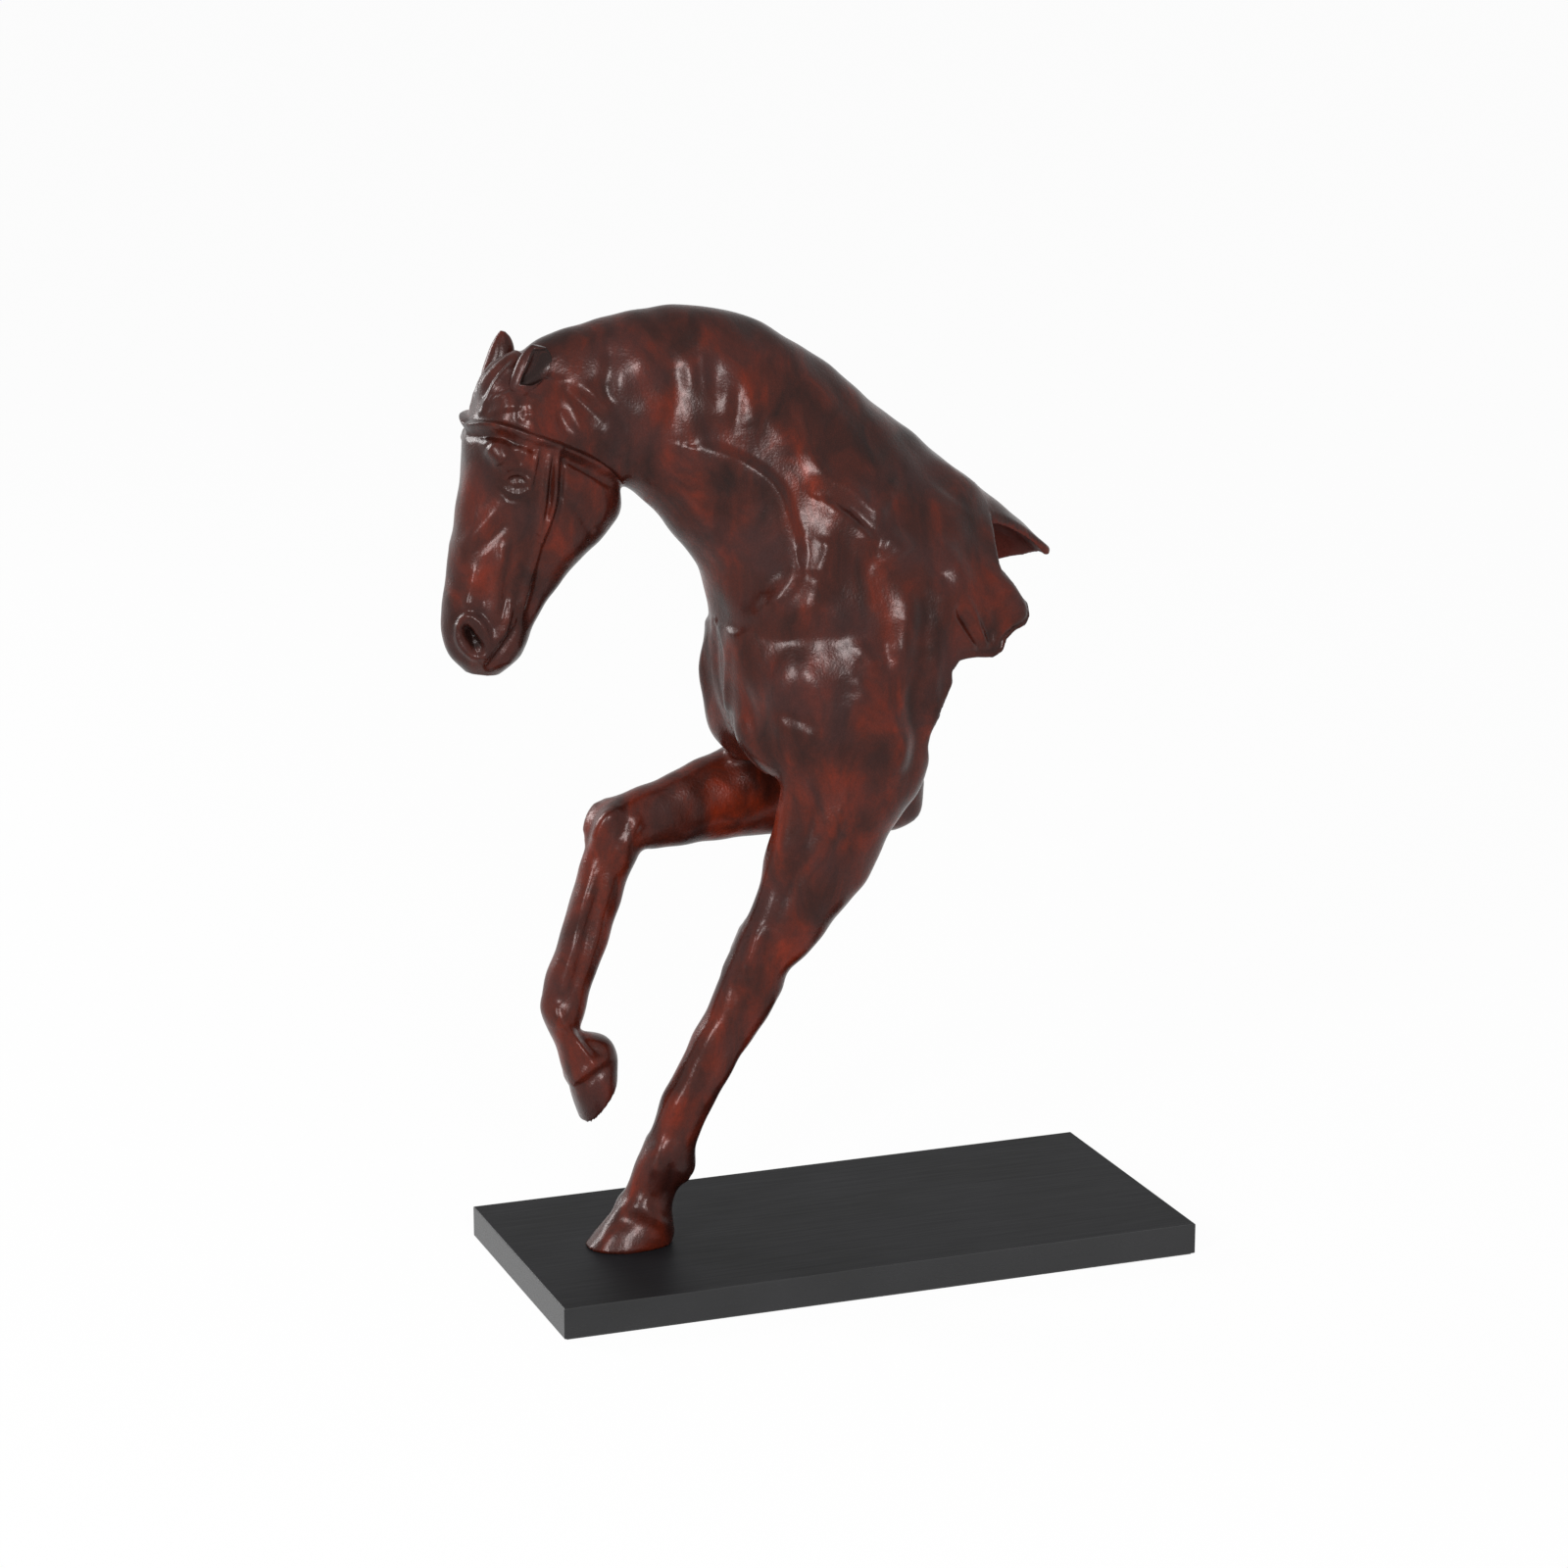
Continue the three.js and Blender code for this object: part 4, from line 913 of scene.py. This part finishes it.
def black_lacquer(name, roughness, **fixed):
    """A block of hardwood sprayed with black lacquer. The eye sees an even black whose gloss is broken by
    the faint straight lines of rubbing down, along the block."""
    material, node, shader = start_material(name, **fixed)
    place = node("TexCoord", out="Object")
    drawn = node("Mapping", {"Scale": (0.03, 1, 1)}, {"Vector": place})
    lines = node("TexNoise", {"Scale": per_metre(1.2), "Detail": 3}, {"Vector": drawn})
    clouds = node("TexNoise", {"Scale": per_metre(60), "Detail": 4}, {"Vector": place})
    colour = node("ValToRGB", links={"Fac": clouds}, stops=[(0.3, "131314"), (0.7, "1b1b1d")])
    gloss = node(
        "MapRange",
        {"From Min": 0.3, "From Max": 0.7, "To Min": roughness - 0.04, "To Max": roughness + 0.04},
        {"Value": lines},
    )
    bumps = node("Bump", {"Strength": 0.08, "Distance": 0.0001}, {"Height": lines})
    link(shader, {"Base Color": colour, "Roughness": gloss, "Normal": bumps})
    return material


def zinc_steel():
    """Steel hardware, turned and zinc plated. The eye sees a cool grey metal with fine rings."""
    material, node, shader = start_material("zinc_plated_steel", Metallic=1.0)
    place = node("TexCoord", out="Object")
    drawn = node("Mapping", {"Scale": (0.1, 0.1, 1)}, {"Vector": place})
    rings = node("TexNoise", {"Scale": per_metre(0.8), "Detail": 2}, {"Vector": drawn})
    colour = node("ValToRGB", links={"Fac": rings}, stops=[(0.3, "8d9094"), (0.7, "b4b6b8")])
    gloss = node("MapRange", {"To Min": 0.28, "To Max": 0.42}, {"Value": rings})
    link(shader, {"Base Color": colour, "Roughness": gloss})
    return material


def pressed_felt():
    """Wool felt, pressed from dyed fibres. The eye sees a soft matt black with a short nap."""
    material, node, shader = start_material(
        "black_wool_felt", Roughness=0.95, Sheen_Weight=0.3, Sheen_Roughness=0.5,
    )
    place = node("TexCoord", out="Object")
    fibres = node("TexNoise", {"Scale": per_metre(0.7), "Detail": 4, "Roughness": 0.8}, {"Vector": place})
    colour = node("ValToRGB", links={"Fac": fibres}, stops=[(0.35, "0c0c0d"), (0.65, "1d1d1f")])
    bumps = node("Bump", {"Strength": 0.6, "Distance": 0.0003}, {"Height": fibres})
    link(shader, {"Base Color": colour, "Normal": bumps})
    return material


# The horse's castings, with the grain of their fields and the width of their melted joins
HEAD_VOXEL = 0.8
NECK_VOXEL = 1.3
TORSO_VOXEL = 1.4
LEG_VOXEL = 1.15
EAR_VOXEL = 0.5
FILLET = 8
HEAD_FILLET = 6
# How round the edge of a hollow and of an ear's opening is
HOLLOW_EDGE = 1
EAR_EDGE = 0.8
# Opposite corners of the space that each casting is shaped in, and the free space round a leg and an ear
HEAD_ROOM = (-250, -48, 345), (-96, 48, 575)
NECK_ROOM = (-180, -62, 370), (60, 62, 580)
TORSO_ROOM = (-110, -80, 200), (175, 80, 535)
LEG_MARGIN = 12
LEG_SIDE_MARGIN = 36
EAR_MARGIN = 6
EAR_SIDE_MARGIN = 16
# The section at which a leg leaves the shoulder, and the one at which the head starts
LEG_START = 3
HEAD_START = 0.6
# How near to the scoop's surface, in mm, an ear is wholly and not at all painted with shade, and how deep a
# groove that painted shade is as dark as
SCOOP_RANGE = (0.4, 1.0)
SCOOP_PAINTED_SHADE = 3

bronze = patinated_bronze()
chest = [loft(LEFT_CHEST), loft(RIGHT_CHEST)]
hollow = loft(NECK, HOLLOW_START, inset=SHELL_WALL)


def near_marks(points, normals):
    """The marks of head, neck and torso, which die away at the right elbow."""
    rise = relief(points, normals, NEAR_MARKS, np.zeros(len(points)))
    return rise * quiet_near(points, RIGHT_LEG, RIGHT_SEAMS[0])


def left_leg_marks(points, normals):
    middles = leg_middles(points, LEFT_LEG)
    rise = relief(points, normals, NEAR_MARKS, middles)
    inner = points[:, 1] > middles
    return np.where(inner, rise * quiet_near(points, LEFT_LEG, LEFT_SEAMS[0]), rise)


def right_leg_marks(points, normals):
    rise = relief(points, normals, RIGHT_LEG_MARKS, leg_middles(points, RIGHT_LEG))
    return rise * quiet_near(points, RIGHT_LEG, RIGHT_SEAMS[0])


def no_marks(points, normals):
    return np.zeros(len(points))


# Each field takes in more of its neighbours than its casting keeps, so that the castings meet smoothly.
def head_surface():
    room = Room(*HEAD_ROOM, HEAD_VOXEL)
    field = melt_all(room, [loft(HEAD, HEAD_START), loft(NECK, end=3), loft(FORELOCK)], HEAD_FILLET)
    return worked_surface(room, field, near_marks)


def neck_surface():
    room = Room(*NECK_ROOM, NECK_VOXEL)
    outside = melt_all(room, [loft(NECK, start=0.5, end=8.5), loft(HEAD, HEAD_START, end=6)], HEAD_FILLET)
    core = room.distances(hollow)
    return worked_surface(room, carve(outside, core, HOLLOW_EDGE), near_marks, core)


def torso_surface():
    room = Room(*TORSO_ROOM, TORSO_VOXEL)
    bodies = [loft(NECK, start=6), loft(LEFT_LEG, end=7.5), loft(RIGHT_LEG, end=9.5), *chest]
    core = room.distances(hollow)
    shell = carve(melt_all(room, bodies, FILLET), core, HOLLOW_EDGE)
    return worked_surface(room, carve(shell, torn_away(room), TEAR_LIP), near_marks, core)


def leg_surface(stations, chest_side, tool_marks):
    below = stations[LEG_START:]
    x, y, z = below[:, [0, 2]], stations[:, 4], below[:, [1, 3]]
    room = Room(
        (x.min() - LEG_MARGIN, y.min() - LEG_SIDE_MARGIN, z.min() - LEG_MARGIN),
        (x.max() + LEG_MARGIN, y.max() + LEG_SIDE_MARGIN, z.max()),
        LEG_VOXEL,
    )
    field = melt_all(room, [loft(stations, LEG_START), loft(NECK, start=9), chest_side], FILLET)
    return worked_surface(room, field, tool_marks)


def collar():
    """The sleeve in the neck's open end that the torso slides over, as points and faces."""
    way = way_along(NECK, NECK_SEAM) * COLLAR_LENGTH
    sides = 64
    insets = COLLAR_INSET, COLLAR_INSET + COLLAR_WALL
    outer, inner = (rim(NECK, NECK_SEAM, inset, sides) for inset in insets)
    rings = [outer - way, outer + way, inner + way, inner - way]
    faces = [
        (a * sides + k, a * sides + n, b * sides + n, b * sides + k)
        for a, b in ((0, 1), (1, 2), (2, 3), (3, 0))
        for k, n in zip(range(sides), [*range(1, sides), 0])
    ]
    return np.concatenate(rings), faces


def ear_surface(stations, opening, side):
    """A leaf of bronze that stands off the head, with its outer side scooped out and painted dark as shade.
    """
    ends = np.concatenate([stations[:, [0, 1]], stations[:, [2, 3]]])
    low, high = ends.min(axis=0) - EAR_MARGIN, ends.max(axis=0) + EAR_MARGIN
    y = stations[:, 4].mean()
    room = Room((low[0], y - EAR_SIDE_MARGIN, low[1]), (high[0], y + EAR_SIDE_MARGIN, high[1]), EAR_VOXEL)
    leaf = room.distances(loft(stations, shift=(0, side * EAR_STAND_OFF, 0)))
    scoop = room.distances(loft(opening))
    points, quads, normals, _, cored = worked_surface(room, carve(leaf, scoop, EAR_EDGE), no_marks)
    # The scoop is painted with shade: it is given the relief of a groove that deep, which the bronze
    # darkens.
    scoop_shade = 1 - smooth_step(np.abs(room.sample(scoop, points)), *SCOOP_RANGE)
    return points, quads, normals, -SCOOP_PAINTED_SHADE * scoop_shade, cored


casting("head", head_surface(), [(NECK, HEAD_SEAM, False)], ["head_casting"])
casting(
    "neck", neck_surface(), [(NECK, HEAD_SEAM, True), (NECK, NECK_SEAM, False)], ["neck_casting"], collar(),
)
casting(
    "torso", torso_surface(),
    [(NECK, NECK_SEAM, True), (LEFT_LEG, LEFT_SEAMS[0], False, -1), (RIGHT_LEG, RIGHT_SEAMS[0], False, 1)],
    ["torso_shell"],
)
for side, stations, chest_side, marks, (elbow, knee, fetlock) in (
    ("left", LEFT_LEG, chest[0], left_leg_marks, LEFT_SEAMS),
    ("right", RIGHT_LEG, chest[1], right_leg_marks, RIGHT_SEAMS),
):
    whole_leg = leg_surface(stations, chest_side, marks)
    for part, cuts in (
        ("forearm", [(stations, elbow, True), (stations, knee, False)]),
        ("knee_and_cannon", [(stations, knee, True), (stations, fetlock, False)]),
        ("pastern_and_hoof", [(stations, fetlock, True)]),
    ):
        casting(f"{side}_{part}_bronze", whole_leg, cuts, [f"{side}_{part}"])
casting("left_ear_leaf", ear_surface(LEFT_EAR, LEFT_EAR_OPENING, -1), [], ["left_ear"])
casting("right_ear_leaf", ear_surface(RIGHT_EAR, RIGHT_EAR_OPENING, 1), [], ["right_ear"])


# Base and hardware, in metres
EDGE_ROUND = 0.0006
# The edges that are eased are longer and sharper than these, and a face that is turned up more is the top.
LONG_EDGE = 0.018
SHARP_EDGE = math.radians(60)
TURNED_UP = 0.99


def base_block():
    """The base's block with its outer edges eased. Its top is rubbed duller than its sides."""
    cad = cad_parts["base_plate"]
    block = bmesh.new()
    block.from_mesh(cad.data)
    bmesh.ops.remove_doubles(block, verts=block.verts, dist=1e-6)
    bmesh.ops.dissolve_limit(block, angle_limit=math.radians(1), verts=block.verts, edges=block.edges)
    outer = [
        edge for edge in block.edges
        if edge.calc_length() > LONG_EDGE and edge.calc_face_angle(0) > SHARP_EDGE
    ]
    bmesh.ops.bevel(block, geom=outer, offset=EDGE_ROUND, segments=3, profile=0.5, affect="EDGES")
    for face in block.faces:
        face.material_index = 1 if face.normal.z > TURNED_UP else 0
        face.smooth = False
    mesh = bpy.data.meshes.new("base_block")
    block.to_mesh(mesh)
    block.free()
    piece = add_object("base_block", mesh)
    piece.data.materials.append(black_lacquer("black_lacquer_sides", 0.3, Specular_IOR_Level=0.45))
    piece.data.materials.append(black_lacquer("black_lacquer_rubbed_top", 0.5, Specular_IOR_Level=0.05))
    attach(piece, "root")
    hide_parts("base_plate")


base_block()
steel, felt = zinc_steel(), pressed_felt()
finishes = {"felt_sheet": felt}
for name in ("armature_rod", "hoof_dowel", "fender_washer", "lock_washer", "hex_nut"):
    finishes[name] = steel
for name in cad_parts:
    if "_pin" in name:
        finishes[name] = bronze
for name, finish in finishes.items():
    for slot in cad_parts[name].material_slots:
        slot.material = finish


# Floor, light and camera, in metres
FLOOR_REACH = 30
# How much of its own white the floor shows, and how strong the light from everywhere is
FLOOR_WHITE = 0.965
AIR_LIGHT = 0.15


def sees_background(node):
    """One for rays from the camera and for those that gloss and glass send on, else nothing."""
    path = node("LightPath").node.outputs
    clear = node(
        "Math", links={0: path["Is Glossy Ray"], 1: path["Is Transmission Ray"]}, operation="MAXIMUM",
    )
    return node("Math", links={0: path["Is Camera Ray"], 1: clear}, operation="MAXIMUM")


def plain_floor():
    """A white sheet that runs out of sight. It shows white to the camera and in gloss, its shadows soft."""
    mesh = bpy.data.meshes.new("floor")
    corners = [(x * FLOOR_REACH, y * FLOOR_REACH, 0) for x, y in ((-1, -1), (1, -1), (1, 1), (-1, 1))]
    mesh.from_pydata(corners, [], [(0, 1, 2, 3)])
    material = bpy.data.materials.new("white_paper")
    node = start_nodes(material)
    paper = node("BsdfDiffuse", {"Color": linear("f6f6f6")})
    white = node("Emission", {"Color": linear("ffffff"), "Strength": 1})
    share = node("Math", {1: FLOOR_WHITE}, {0: sees_background(node)}, operation="MULTIPLY")
    mixed = node("MixShader", links={0: share, 1: paper, 2: white})
    node("OutputMaterial", links={"Surface": mixed})
    mesh.materials.append(material)
    add_object("floor", mesh)


def studio_air():
    """White all round to the camera and in gloss, and a weak even light from everywhere."""
    world = bpy.data.worlds.new("studio")
    node = start_nodes(world)
    light = node("Background", {"Color": (1, 1, 1, 1), "Strength": AIR_LIGHT})
    white = node("Background", {"Color": (1, 1, 1, 1), "Strength": 1})
    mixed = node("MixShader", links={0: sees_background(node), 1: light, 2: white})
    node("OutputWorld", links={"Surface": mixed})
    bpy.context.scene.world = world


def soft_box(name, place, aim, size, watts):
    lamp = bpy.data.lights.new(name, "AREA")
    lamp.shape = "RECTANGLE"
    lamp.size, lamp.size_y = size
    lamp.energy = watts
    box = add_object(name, lamp)
    box.location = place
    box.rotation_euler = (Vector(aim) - Vector(place)).to_track_quat("-Z", "Y").to_euler()


plain_floor()
studio_air()
soft_box("key_box", place=(-2.2, -1.7, 1.3), aim=(-0.08, 0, 0.35), size=(0.45, 1.1), watts=52)
soft_box("front_box", place=(-0.5, -2.75, 1.35), aim=(0, 0, 0.35), size=(0.5, 0.9), watts=56)
soft_box("back_box", place=(-1.8, 2.1, 1.4), aim=(0, 0, 0.35), size=(0.7, 1.3), watts=42)

camera = add_object("camera", bpy.data.cameras.new("camera"))
camera.data.lens = LENS
camera.data.sensor_width = SENSOR
camera.data.clip_end = 100
camera.location = CAMERA_PLACE / 1000
camera.rotation_euler = (math.pi / 2 - CAMERA_DIP, 0, -CAMERA_TURN)
bpy.context.scene.camera = camera
bpy.context.scene.view_settings.view_transform = "Standard"
